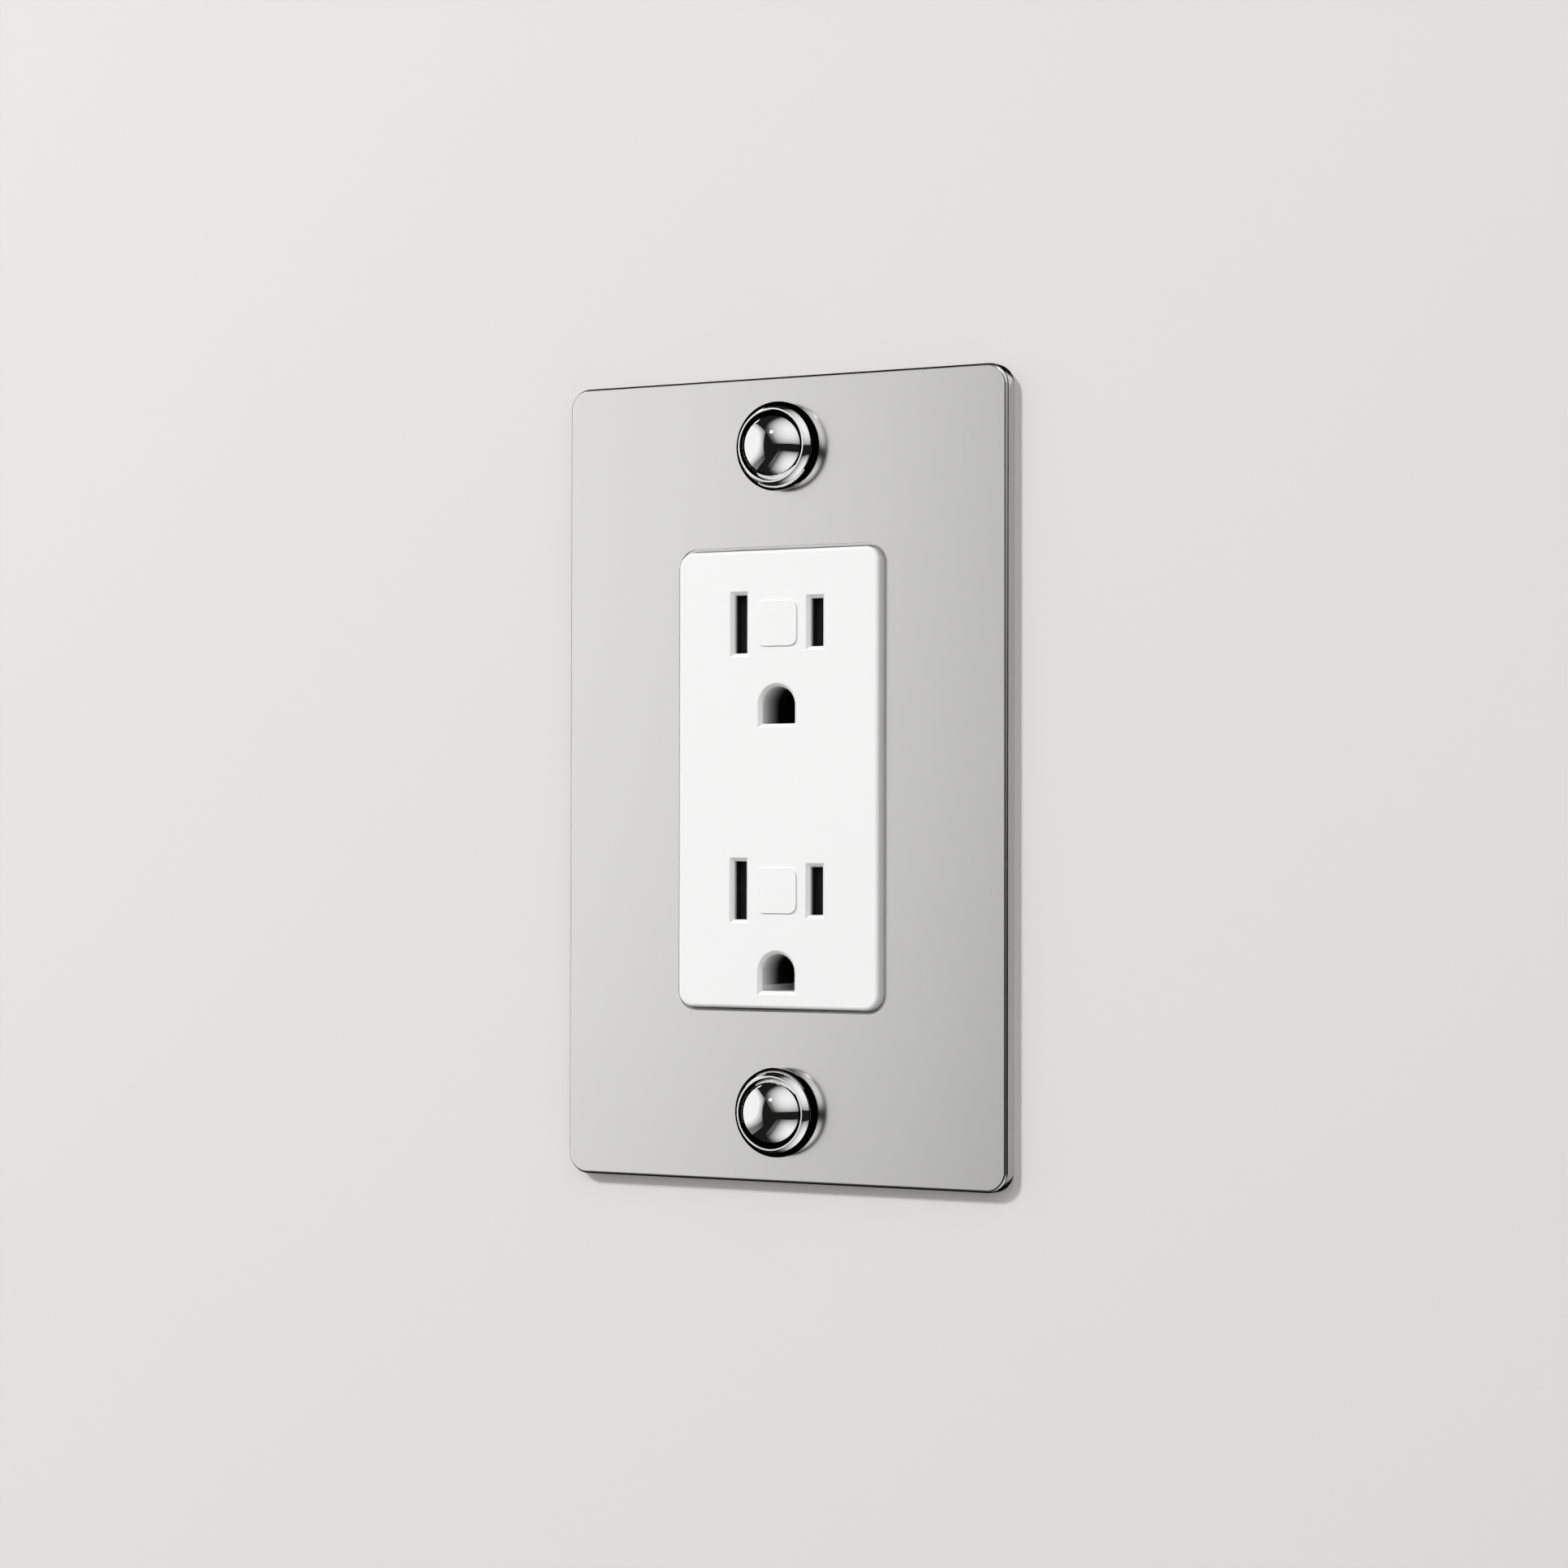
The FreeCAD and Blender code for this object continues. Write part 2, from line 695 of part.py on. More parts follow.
def contact_strip(name, side):
    """Brass strip: two halves joined by screw pads and a break-off tab, a fork for each outlet."""
    inner, outer = f"({CAVITY} - strip_gauge)", CAVITY
    pad_face = f"({CAVITY} + pad_gauge)"
    y = ("strip_front", "strip_back")
    upper_half = ("strip_split", f"{UPPER} + leaf_half + strip_margin")
    lower_half = (f"{LOWER} - leaf_half - strip_margin", "-strip_split")
    parts = [block(mirrored(side, inner, outer), y, half) for half in (upper_half, lower_half)]
    pad_x = mirrored(side, f"({CAVITY} - sink)", pad_face)
    for end in (1, -1):
        pad_z = mirrored(end, "pad_inner", "pad_outer")
        parts.append(block(pad_x, ("pad_front", "pad_back"), pad_z))
    tab_x = mirrored(side, f"({CAVITY} + sink)", f"({CAVITY} + sink + tab_gauge)")
    tab_y = ("terminal_y - tab_half", "terminal_y + tab_half")
    parts.append(block(tab_x, tab_y, ("-pad_inner - sink", "pad_inner + sink")))
    for z0 in OUTLETS.values():
        z = (f"{z0} - leaf_half", f"{z0} + leaf_half")
        near, far = "(blade_offset - blade_gap / 2)", "(blade_offset + blade_gap / 2)"
        leaf_y = ("leaf_front", "leaf_back")
        parts.append(block(mirrored(side, f"{near} - leaf_gauge", near), leaf_y, z))
        parts.append(block(mirrored(side, far, f"{far} + leaf_gauge"), leaf_y, z))
        crossbar = mirrored(side, f"{near} - leaf_gauge", f"{inner} + sink")
        parts.append(block(crossbar, ("leaf_back", "leaf_back + strip_gauge"), z))
    through = mirrored(side, f"{inner} - past", f"{pad_face} + past")
    taps = [
        rod("x", ("terminal_y", f"{end} * terminal_z"), "terminal_thread + running_gap", *through)
        for end in (1, -1)
    ]
    piece(cut(join(*parts), *taps), name)


def terminal(name, side, end):
    """Slotted 8-32 terminal screw and the square clamp plate under its head."""
    place = ("terminal_y", f"{end} * terminal_z")
    seat = f"({CAVITY} + pad_gauge + running_gap)"
    under = f"({seat} + clamp_gauge + running_gap)"
    plate = block(
        mirrored(side, seat, f"({seat} + clamp_gauge)"),
        ("terminal_y - clamp_half", "terminal_y + clamp_half"),
        (f"{end} * terminal_z - clamp_half", f"{end} * terminal_z + clamp_half"),
    )
    through = mirrored(side, f"{seat} - past", f"({seat} + clamp_gauge + past)")
    hole = rod("x", place, "terminal_thread + running_gap", *through)
    piece(cut(plate, hole), f"{name}_clamp_plate")

    top = f"({under} + terminal_rise)"
    shoulder = f"({top} - terminal_crown)"
    rim, crest = "terminal_head", "terminal_head - terminal_crown"
    run = mirrored(side, f"({seat} - terminal_reach)", f"({under} + sink)")
    shank = rod("x", place, "terminal_thread", *run)
    head = rod("x", place, rim, *mirrored(side, under, shoulder))
    ends = (rim, crest) if side > 0 else (crest, rim)
    low, high = mirrored(side, shoulder, top)
    crown = rod("x", place, ends[0], low, high, tip=ends[1])
    drive = block(
        mirrored(side, f"({top} - drive_depth)", f"({top} + past)"),
        ("terminal_y - drive_width / 2", "terminal_y + drive_width / 2"),
        (f"{end} * terminal_z - drive_run", f"{end} * terminal_z + drive_run"),
    )
    piece(cut(join(shank, head, crown), drive), f"{name}_terminal_screw")


def ground_terminal():
    """Green hexagon-headed 8-32 screw and its washer on the strap's tab."""
    face = "-(strap_width / 2)"
    place = ("green_y", "green_z")
    washer_back = f"({face} - running_gap)"
    washer_front = f"({washer_back} - clamp_gauge)"
    through = (f"{washer_front} - past", f"{washer_back} + past")
    hole = rod("x", place, "terminal_thread + running_gap", *through)
    washer = rod("x", place, "clamp_half", washer_front, washer_back)
    piece(cut(washer, hole), "ground_clamp_washer")
    under = f"({washer_front} - running_gap)"
    head = doc.addObject("Part::Prism", "hexagon")
    head.Polygon = 6
    bind(head, "Circumradius", "terminal_head")
    bind(head, "Height", "terminal_rise")
    head.Placement = FreeCAD.Placement(Vector(), TURNED["x"])
    bind(head, "Placement.Base.x", f"{under} - terminal_rise")
    bind(head, "Placement.Base.y", "green_y")
    bind(head, "Placement.Base.z", "green_z")
    shank = rod("x", place, "terminal_thread", f"{under} - sink", f"({face} + green_reach)")
    drive = block(
        (f"{under} - terminal_rise - past", f"{under} - terminal_rise + drive_depth"),
        ("green_y - drive_width / 2", "green_y + drive_width / 2"),
        ("green_z - drive_run", "green_z + drive_run"),
    )
    piece(cut(join(head, shank), drive), "ground_terminal_screw")


def ground_contact():
    """Ground sleeves on a strip, held by two rivets through the body and the strap."""
    floor = "(body_back - body_wall)"
    x = ("-ground_strip_half", "ground_strip_half")
    bottom = f"({LOWER} - ground_drop - ground_strip_margin)"
    top = f"({UPPER} - ground_drop + ground_strip_margin)"
    parts = [block(x, (f"{floor} - strip_gauge", floor), (bottom, top))]
    for z0 in OUTLETS.values():
        centre = f"({z0} - ground_drop)"
        z = (f"{centre} - ground_leaf_half", f"{centre} + ground_leaf_half")
        for side in (1, -1):
            leaf = mirrored(side, "ground_gap / 2", "ground_gap / 2 + leaf_gauge")
            parts.append(block(leaf, ("ground_leaf_front", f"{floor} - strip_gauge"), z))
    holes = [
        rod("y", ("0", place), "rivet", f"{floor} - strip_gauge - past", f"{floor} + past")
        for place in ("rivet_upper", "rivet_lower")
    ]
    piece(cut(join(*parts), *holes), "ground_contact")
    inside = f"({floor} - strip_gauge)"
    outside = "(body_back + strap_gauge)"
    rivets = []
    for place in ("rivet_upper", "rivet_lower"):
        rivets.append(rod("y", ("0", place), "rivet", f"{inside} - sink", f"{outside} + sink"))
        rivets.append(rod("y", ("0", place), "rivet_head", f"{inside} - rivet_rise", inside))
        rivets.append(rod("y", ("0", place), "rivet_head", outside, f"{outside} + rivet_rise"))
    piece(join(*rivets), "ground_rivets")


def shutter(name, z0):
    """Shutter, its tray and its spring: at rest the solid parts lie behind the blade slots."""
    floor = f"({FACE_BACK} + tray_pocket)"
    wall_in = "(tray_half - tray_wall)"
    y = (FACE_BACK, f"({floor} + tray_floor)")
    tray = block(("-tray_half", "tray_half"), y, (f"{z0} - tray_bottom", f"{z0} + tray_top"))
    pocket_x = (f"-{wall_in}", wall_in)
    pocket_y = (f"{FACE_BACK} - past", floor)
    slide_z = (f"{z0} - shutter_half", f"{z0} + shutter_half")
    bay = block(pocket_x, pocket_y, (f"{slide_z[0]} - fit_gap", f"{slide_z[1]} + fit_gap"))
    foot = f"{z0} - tray_bottom - past"
    channel = block(pocket_x, pocket_y, (foot, f"{z0} - shutter_half - channel_rib"))
    gate_x = ("lug_left - lug_clear", "lug_right + shutter_travel + lug_clear")
    gate = block(gate_x, pocket_y, (foot, f"{z0} - shutter_half"))
    window_z = (f"{z0} - tray_window_height / 2", f"{z0} + tray_window_height / 2")
    windows = [
        block(
            (
                f"{s} * blade_offset - tray_window_width / 2",
                f"{s} * blade_offset + tray_window_width / 2",
            ),
            (f"{floor} - past", f"{floor} + tray_floor + past"),
            window_z,
        )
        for s in (1, -1)
    ]
    piece(cut(tray, bay, channel, gate, *windows), f"{name}_shutter_tray")

    slide_y = (f"{FACE_BACK} + running_gap", f"{floor} - running_gap")
    slider = block((f"-({wall_in} - fit_gap)", "shutter_end"), slide_y, slide_z)
    lug = block(
        ("lug_left", "lug_right"),
        (f"{slide_y[0]} + sink", f"{slide_y[1]} - sink"),
        (f"{z0} - spring_drop - lug_tail", f"{z0} - shutter_half + lug_root"),
    )
    passages = [
        block(
            (
                f"{s} * blade_offset - shutter_travel - shutter_window / 2",
                f"{s} * blade_offset - shutter_travel + shutter_window / 2",
            ),
            (f"{FACE_BACK} - past", f"{floor} + past"),
            window_z,
        )
        for s in (1, -1)
    ]
    piece(cut(join(slider, lug), *passages), f"{name}_shutter")

    coil = doc.addObject("Part::Helix", "coil")
    bind(coil, "Pitch", "spring_pitch")
    bind(coil, "Height", f"{wall_in} - lug_right - 2 * (spring_wire + spring_clear)")
    bind(coil, "Radius", "spring_radius")
    wire = doc.addObject("Part::Circle", "wire")
    bind(wire, "Radius", "spring_wire")
    wire.Placement = FreeCAD.Placement(Vector(), Rotation(Vector(1, 0, 0), 90))
    bind(wire, "Placement.Base.x", "spring_radius")
    spring = doc.addObject("Part::Sweep", "spring")
    spring.Sections = [wire]
    spring.Spine = (coil, [])
    spring.Solid = True
    spring.Frenet = True
    spring.Placement = FreeCAD.Placement(Vector(), TURNED["x"])
    bind(spring, "Placement.Base.x", "lug_right + spring_wire + spring_clear")
    bind(spring, "Placement.Base.y", f"({FACE_BACK} + {floor}) / 2")
    bind(spring, "Placement.Base.z", f"{z0} - spring_drop")
    piece(spring, f"{name}_shutter_spring")


def fasteners():
    """Four assembly screws from the back, and two box screws with their retaining washers."""
    screws = []
    tip = f"{POST_FRONT} + assembly_tip"
    for place in POSTS:
        screws.append(rod("y", place, "post_pilot", tip, "body_back + sink"))
        screws.append(rod("y", place, "assembly_head", "body_back", "body_back + assembly_rise"))
    piece(join(*screws), "assembly_screws")

    screws = []
    slots = []
    retainers = []
    holes = []
    ear_back = "(strap_front + strap_gauge)"
    retainer_back = f"({ear_back} + retainer_gauge)"
    neck_end = f"({retainer_back} + neck_clear)"
    top = "(strap_front - box_head_rise)"
    shoulder = f"({top} + box_crown)"
    for end in (1, -1):
        z = f"{end} * box_screw_spacing / 2"
        place = ("0", z)
        screws.append(rod("y", place, "box_neck", "strap_front - sink", f"{neck_end} + sink"))
        screws.append(rod("y", place, "small_thread", neck_end, "box_screw_reach"))
        screws.append(rod("y", place, "box_head", shoulder, "strap_front"))
        screws.append(rod("y", place, "box_head - box_crown_in", top, shoulder, tip="box_head"))
        slots.append(
            block(
                ("-drive_run", "drive_run"),
                (f"{top} - past", f"{top} + box_drive_depth"),
                (f"{z} - box_drive_half", f"{z} + box_drive_half"),
            )
        )
        retainers.append(
            block(
                ("-retainer_half", "retainer_half"),
                (ear_back, retainer_back),
                (f"{z} - retainer_half", f"{z} + retainer_half"),
            )
        )
        holes.append(rod("y", place, "box_neck", f"{ear_back} - past", f"{retainer_back} + past"))
    piece(cut(join(*screws), *slots), "box_screws")
    piece(cut(join(*retainers), *holes), "retaining_washers")


def main():
    wall_plate()
    dome_screw("upper", 1)
    dome_screw("lower", -1)
    face_cover()
    rear_body()
    mounting_strap()
    for name, side in (("hot", 1), ("neutral", -1)):
        contact_strip(f"{name}_contact_strip", side)
        terminal(f"upper_{name}", side, 1)
        terminal(f"lower_{name}", side, -1)
    ground_terminal()
    ground_contact()
    for name, z0 in OUTLETS.items():
        shutter(name, z0)
    fasteners()
    doc.recompute()

    for thing in doc.Objects:
        if {"Invalid", "Error"} & set(thing.State):
            raise ValueError(f"{thing.Label} failed: {thing.State}")
    for thing in pieces:
        if thing.Shape.isNull() or not thing.Shape.isValid() or not thing.Shape.Solids:
            raise ValueError(f"{thing.Label} has no valid solid")
    os.makedirs("parts", exist_ok=True)
    for thing in pieces:
        thing.Shape.exportStep(f"parts/{thing.Label}.step")


main()
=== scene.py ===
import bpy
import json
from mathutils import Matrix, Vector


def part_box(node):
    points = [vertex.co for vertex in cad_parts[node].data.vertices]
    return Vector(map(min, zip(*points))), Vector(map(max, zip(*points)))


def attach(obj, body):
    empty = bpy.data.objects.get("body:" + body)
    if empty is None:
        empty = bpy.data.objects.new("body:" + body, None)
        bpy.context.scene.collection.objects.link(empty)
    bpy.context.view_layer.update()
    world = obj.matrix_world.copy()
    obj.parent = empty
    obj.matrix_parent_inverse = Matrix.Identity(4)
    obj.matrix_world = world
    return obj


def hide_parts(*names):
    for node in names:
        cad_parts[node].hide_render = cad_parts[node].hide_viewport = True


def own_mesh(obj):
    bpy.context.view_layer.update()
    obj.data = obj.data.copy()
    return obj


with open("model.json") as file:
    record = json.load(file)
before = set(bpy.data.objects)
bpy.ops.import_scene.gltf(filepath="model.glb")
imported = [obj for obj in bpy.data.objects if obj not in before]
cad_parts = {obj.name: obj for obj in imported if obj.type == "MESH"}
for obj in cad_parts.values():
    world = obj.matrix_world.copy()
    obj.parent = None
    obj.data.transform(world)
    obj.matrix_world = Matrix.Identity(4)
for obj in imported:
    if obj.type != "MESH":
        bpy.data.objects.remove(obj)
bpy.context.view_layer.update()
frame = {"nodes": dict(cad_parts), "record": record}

import json
import math

import bmesh
import bpy
from mathutils import Matrix, Vector

scene = bpy.context.scene
scene.view_settings.view_transform = "Standard"

# ---------------------------------------------------------------------------------------
# The camera stands about 56 cm away, to the right of the plate and level with it, and
# looks back at it through a long lens.
MM = 0.001
camera_yaw, camera_pitch, camera_roll = 0.5123, -0.0165, 0.0018
camera_reach, camera_aside, camera_up = 562.57, 0.3648, -0.7249
camera_lens, camera_film = 88.685, 36.0

plate_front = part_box("wall_plate")[0][1]
toward = Vector((
    math.sin(camera_yaw) * math.cos(camera_pitch),
    -math.cos(camera_yaw) * math.cos(camera_pitch),
    math.sin(camera_pitch),
))
aside = (-toward).cross(Vector((0, 0, 1))).normalized()
above = aside.cross(-toward)
across = aside * math.cos(camera_roll) + above * math.sin(camera_roll)
upward = above * math.cos(camera_roll) - aside * math.sin(camera_roll)
stand = (aside * camera_aside + above * camera_up + toward * camera_reach) * MM
stand.y += plate_front
eye = bpy.data.cameras.new("camera")
eye.lens, eye.sensor_width = camera_lens, camera_film
eye.clip_start, eye.clip_end = 0.01, 20.0
camera = bpy.data.objects.new("camera", eye)
camera.matrix_world = Matrix.Translation(stand) @ Matrix(
    (across, upward, toward)
).transposed().to_4x4()
scene.collection.objects.link(camera)
scene.camera = camera


# ---------------------------------------------------------------------------------------
# The wall is painted plaster with an opening cut for the body. Its paint is on the room's
# side only, so from inside the wall the fitting can be seen whole.
class Wire:
    """A node's output. Sums on it are written as plain expressions."""

    def __init__(self, finish, plug):
        self.finish, self.plug = finish, plug

    def worked(self, operation, first, second):
        return self.finish.node("ShaderNodeMath", {"operation": operation}, first, second)

    def __add__(self, other):
        return self.worked("ADD", self, other)

    def __radd__(self, other):
        return self.worked("ADD", other, self)

    def __sub__(self, other):
        return self.worked("SUBTRACT", self, other)

    def __rsub__(self, other):
        return self.worked("SUBTRACT", other, self)

    def __mul__(self, other):
        return self.worked("MULTIPLY", self, other)

    def __rmul__(self, other):
        return self.worked("MULTIPLY", other, self)

    def __pow__(self, other):
        return self.worked("POWER", self, other)

    def __gt__(self, other):
        return self.worked("GREATER_THAN", self, other)

    def __lt__(self, other):
        return self.worked("LESS_THAN", self, other)

    def size(self):
        return self.worked("ABSOLUTE", self, 0.0)

    def at_least(self, other):
        return self.worked("MAXIMUM", self, other)

    def at_most(self, other):
        return self.worked("MINIMUM", self, other)


class Finish:
    """A surface finish: one Principled shader, with what varies wired to it."""

    def __init__(self, name, **fixed):
        self.material = bpy.data.materials.new(name)
        self.material.use_nodes = True
        self.nodes = self.material.node_tree.nodes
        self.links = self.material.node_tree.links
        self.shader = self.nodes["Principled BSDF"]
        for socket, value in fixed.items():
            self.shader.inputs[socket.replace("_", " ")].default_value = value
        self.place = self.node("ShaderNodeTexCoord", {}, out="Object")

    def put(self, socket, value):
        if isinstance(value, Wire):
            self.links.new(value.plug, socket)
        else:
            socket.default_value = value

    def node(self, kind, settings, *values, out=0, **named):
        made = self.nodes.new(kind)
        for name, setting in settings.items():
            setattr(made, name, setting)
        for i, value in enumerate(values):
            self.put(made.inputs[i], value)
        for name, value in named.items():
            self.put(made.inputs[name.replace("_", " ")], value)
        return Wire(self, made.outputs[out])

    def feed(self, **wires):
        for socket, wire in wires.items():
            self.put(self.shader.inputs[socket.replace("_", " ")], wire)

    def noise(self, size, detail=3.0, stretch=(1, 1, 1), roughness=0.5):
        """Soft mottling; size is that of its patches in metres."""
        place = self.place
        if stretch != (1, 1, 1):
            place = self.node("ShaderNodeVectorMath", {"operation": "MULTIPLY"}, place, stretch)
        return self.node(
            "ShaderNodeTexNoise", {},
            Vector=place, Scale=1 / size, Detail=detail, Roughness=roughness,
        )

    def blend(self, mask, first, second):
        """Colours mixed by a mask."""
        mix = self.nodes.new("ShaderNodeMix")
        mix.data_type = "RGBA"
        for socket, value in ((0, mask), (6, first), (7, second)):
            value = (*value, 1) if isinstance(value, tuple) else value
            self.put(mix.inputs[socket], value)
        return Wire(self, mix.outputs[2])

    def bump(self, height, depth, strength=1.0):
        relief = self.node("ShaderNodeBump", {}, Height=height, Distance=depth, Strength=strength)
        self.feed(Normal=relief)


def mesh_object(name, mesh, finish):
    piece = bpy.data.objects.new(name, mesh)
    mesh.materials.clear()
    mesh.materials.append(finish.material)
    scene.collection.objects.link(piece)
    return piece


wall_half, opening_x, opening_z = 2.5, 20.6 * MM, 53.5 * MM
paint = Finish("wall_paint", Roughness=0.85, Specular_IOR_Level=0.2)
paint_cloud = paint.noise(0.09, detail=4.0)
paint_deep, paint_pale = (0.725, 0.717, 0.687), (0.731, 0.723, 0.693)
paint.feed(Base_Color=paint.blend(paint_cloud, paint_deep, paint_pale))
paint.bump(paint.noise(0.0011), 0.00002, 0.35)
seen_from_inside = paint.node("ShaderNodeNewGeometry", {}, out="Backfacing")
bare = paint.node("ShaderNodeBsdfTransparent", {})
one_sided = paint.node(
    "ShaderNodeMixShader", {}, seen_from_inside, Wire(paint, paint.shader.outputs[0]), bare
)
paint.links.new(one_sided.plug, paint.nodes["Material Output"].inputs["Surface"])

corners = [(-1, -1), (1, -1), (1, 1), (-1, 1)]
wall_points = [(x * wall_half, 0, z * wall_half) for x, z in corners]
wall_points += [(x * opening_x, 0, z * opening_z) for x, z in corners]
wall_faces = [(i, (i + 1) % 4, (i + 1) % 4 + 4, i + 4) for i in range(4)]
wall_mesh = bpy.data.meshes.new("wall")
wall_mesh.from_pydata(wall_points, [], wall_faces)
wall = mesh_object("wall", wall_mesh, paint)

# ---------------------------------------------------------------------------------------
# Soft cloth panels light the front from the left and from the right, above and below. A
# small one gives a sparkle, and two that no mirror shows cast the shadow and fill it. Two
# more stand behind the wall and light the back.
world = bpy.data.worlds.new("room")
scene.world = world
world.use_nodes = True
room = world.node_tree
room_light = room.nodes["Background"]
room_tint, room_glow, backdrop_shade = (1, 0.99, 0.97, 1), 0.012, (0.80, 0.79, 0.76, 1)
room_light.inputs["Color"].default_value = room_tint
backdrop = room.nodes.new("ShaderNodeBackground")
backdrop.inputs["Color"].default_value = backdrop_shade
room_mix = room.nodes.new("ShaderNodeMixShader")
room_path = room.nodes.new("ShaderNodeLightPath")
room_light.inputs["Strength"].default_value = room_glow
room.links.new(room_path.outputs["Is Camera Ray"], room_mix.inputs[0])
room.links.new(room_light.outputs[0], room_mix.inputs[1])
room.links.new(backdrop.outputs[0], room_mix.inputs[2])
room.links.new(room_mix.outputs[0], room.nodes["World Output"].inputs[0])


def soft_panel(
    name, bearing, height, reach, size, power,
    bright=(0, 0), fade=(0.5, 0.5), limit=1e4, dimmest=0.12, mirrored=True,
):
    """A cloth panel facing the plate, brightest at bright, from -1 to 1 across it."""
    cloth = Finish(name)
    lit = cloth.nodes.new("ShaderNodeEmission")
    spot = cloth.node("ShaderNodeTexCoord", {}, out="UV")
    glow = 1.0
    for axis, brightest, loss in zip("XY", bright, fade):
        off = cloth.node("ShaderNodeSeparateXYZ", {}, spot, out=axis) - (brightest + 1) / 2
        glow = glow * (1 - off * off * loss).at_least(dimmest)
    glow = (glow * power).at_most(limit)
    cloth.put(lit.inputs["Strength"], glow)
    cloth.links.new(lit.outputs[0], cloth.nodes["Material Output"].inputs["Surface"])
    a, e = math.radians(bearing), math.radians(height)
    out = Vector((math.sin(a) * math.cos(e), -math.cos(a) * math.cos(e), math.sin(e)))
    right = Vector((math.cos(a), math.sin(a), 0))
    up, centre = right.cross(-out), out * reach
    wide, tall = size[0] / 2, size[1] / 2
    mesh = bpy.data.meshes.new(name)
    spots = [centre + right * wide * x + up * tall * y for x, y in corners]
    mesh.from_pydata(spots, [], [(0, 1, 2, 3)])
    layer = mesh.uv_layers.new(name="across")
    for loop in mesh.loops:
        x, y = corners[loop.vertex_index]
        layer.data[loop.index].uv = ((x + 1) / 2, (y + 1) / 2)
    panel = mesh_object(name, mesh, cloth)
    panel.visible_camera = False
    panel.visible_glossy = mirrored
    panel.visible_shadow = False


soft_panel(
    "left_panel", -62, 2, 1.0, (2.0, 2.0), 1.6,
    bright=(-0.35, 0.17), fade=(1.84, 4.6), limit=0.97,
)
soft_panel(
    "upper_right_panel", 56, 45, 2.6, (6.4, 4.6), 0.95, bright=(0.1, -0.1), fade=(4.2, 3.4)
)
soft_panel(
    "lower_right_panel", 60, -58, 2.6, (4.2, 4.4), 0.95, bright=(0.2, 0.1), fade=(4.2, 4.0)
)
soft_panel("sparkle_panel", 2, 37, 2.4, (0.23, 0.23), 30.0)
soft_panel("shadow_panel", -29, 33, 3.0, (0.4, 0.4), 118.0, mirrored=False)
soft_panel("fill_panel", 25, 5, 2.5, (3.0, 3.0), 0.72, mirrored=False)
soft_panel("back_panel", 222, 35, 1.1, (1.6, 1.2), 1.9)
soft_panel("back_low_panel", 140, -5, 1.1, (1.2, 1.6), 1.5)

# Black flags lie on the wall behind the plate and round it, with a narrow gap at its
# sides. Only reflections show them, which draws the polished heads' edges dark.
plate_low, plate_high = (Vector(corner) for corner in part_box("wall_plate"))
flag_reach, flag_lift, flag_gap, flag_clear = 2.4, -0.02 * MM, 0.3 * MM, 1.6 * MM
flag_cloth = Finish("flag_cloth", Base_Color=(0, 0, 0, 1), Roughness=1.0, Specular_IOR_Level=0.0)
flag_top, flag_bottom = plate_high.z + flag_gap, plate_low.z - flag_gap
flag_quads = (
    (-flag_reach, flag_reach, flag_top, flag_reach),
    (-flag_reach, flag_reach, -flag_reach, flag_bottom),
    (plate_high.x + flag_clear, flag_reach, flag_bottom, flag_top),
    (-flag_reach, plate_low.x - flag_clear, flag_bottom, flag_top),
    (plate_low.x, plate_high.x, flag_bottom, flag_top),
)
flag_points = [
    spot
    for x0, x1, z0, z1 in flag_quads
    for spot in (
        (x0, flag_lift, z0), (x1, flag_lift, z0), (x1, flag_lift, z1), (x0, flag_lift, z1)
    )
]
flag_mesh = bpy.data.meshes.new("black_flags")
flag_faces = [tuple(range(4 * i, 4 * i + 4)) for i in range(len(flag_quads))]
flag_mesh.from_pydata(flag_points, [], flag_faces)
flags = mesh_object("black_flags", flag_mesh, flag_cloth)
flags.visible_camera = flags.visible_diffuse = flags.visible_shadow = False


# ---------------------------------------------------------------------------------------
# The strap is pressed from galvanised steel strip. It runs behind the plate, round the
# back of the body, and carries the box screws and the ground tab.
bodies = frame["record"]["behaviour"]["bodies"]
body_of_node = {node: body for body, nodes in bodies.items() for node in nodes}


def stands_for(piece, *nodes):
    """The piece joins the body of its CAD nodes and takes their place; they are hidden."""
    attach(piece, body_of_node[nodes[0]])
    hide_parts(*nodes)


def as_mesh(maker):
    """What an object makes, as a plain mesh. The object that made it goes."""
    bpy.context.view_layer.update()
    made = maker.evaluated_get(bpy.context.evaluated_depsgraph_get())
    mesh = bpy.data.meshes.new_from_object(made)
    bpy.data.objects.remove(maker)
    return mesh


weld, flat_turn, sharp_turn, even_weight = 2e-6, math.radians(0.8), math.radians(28), 80


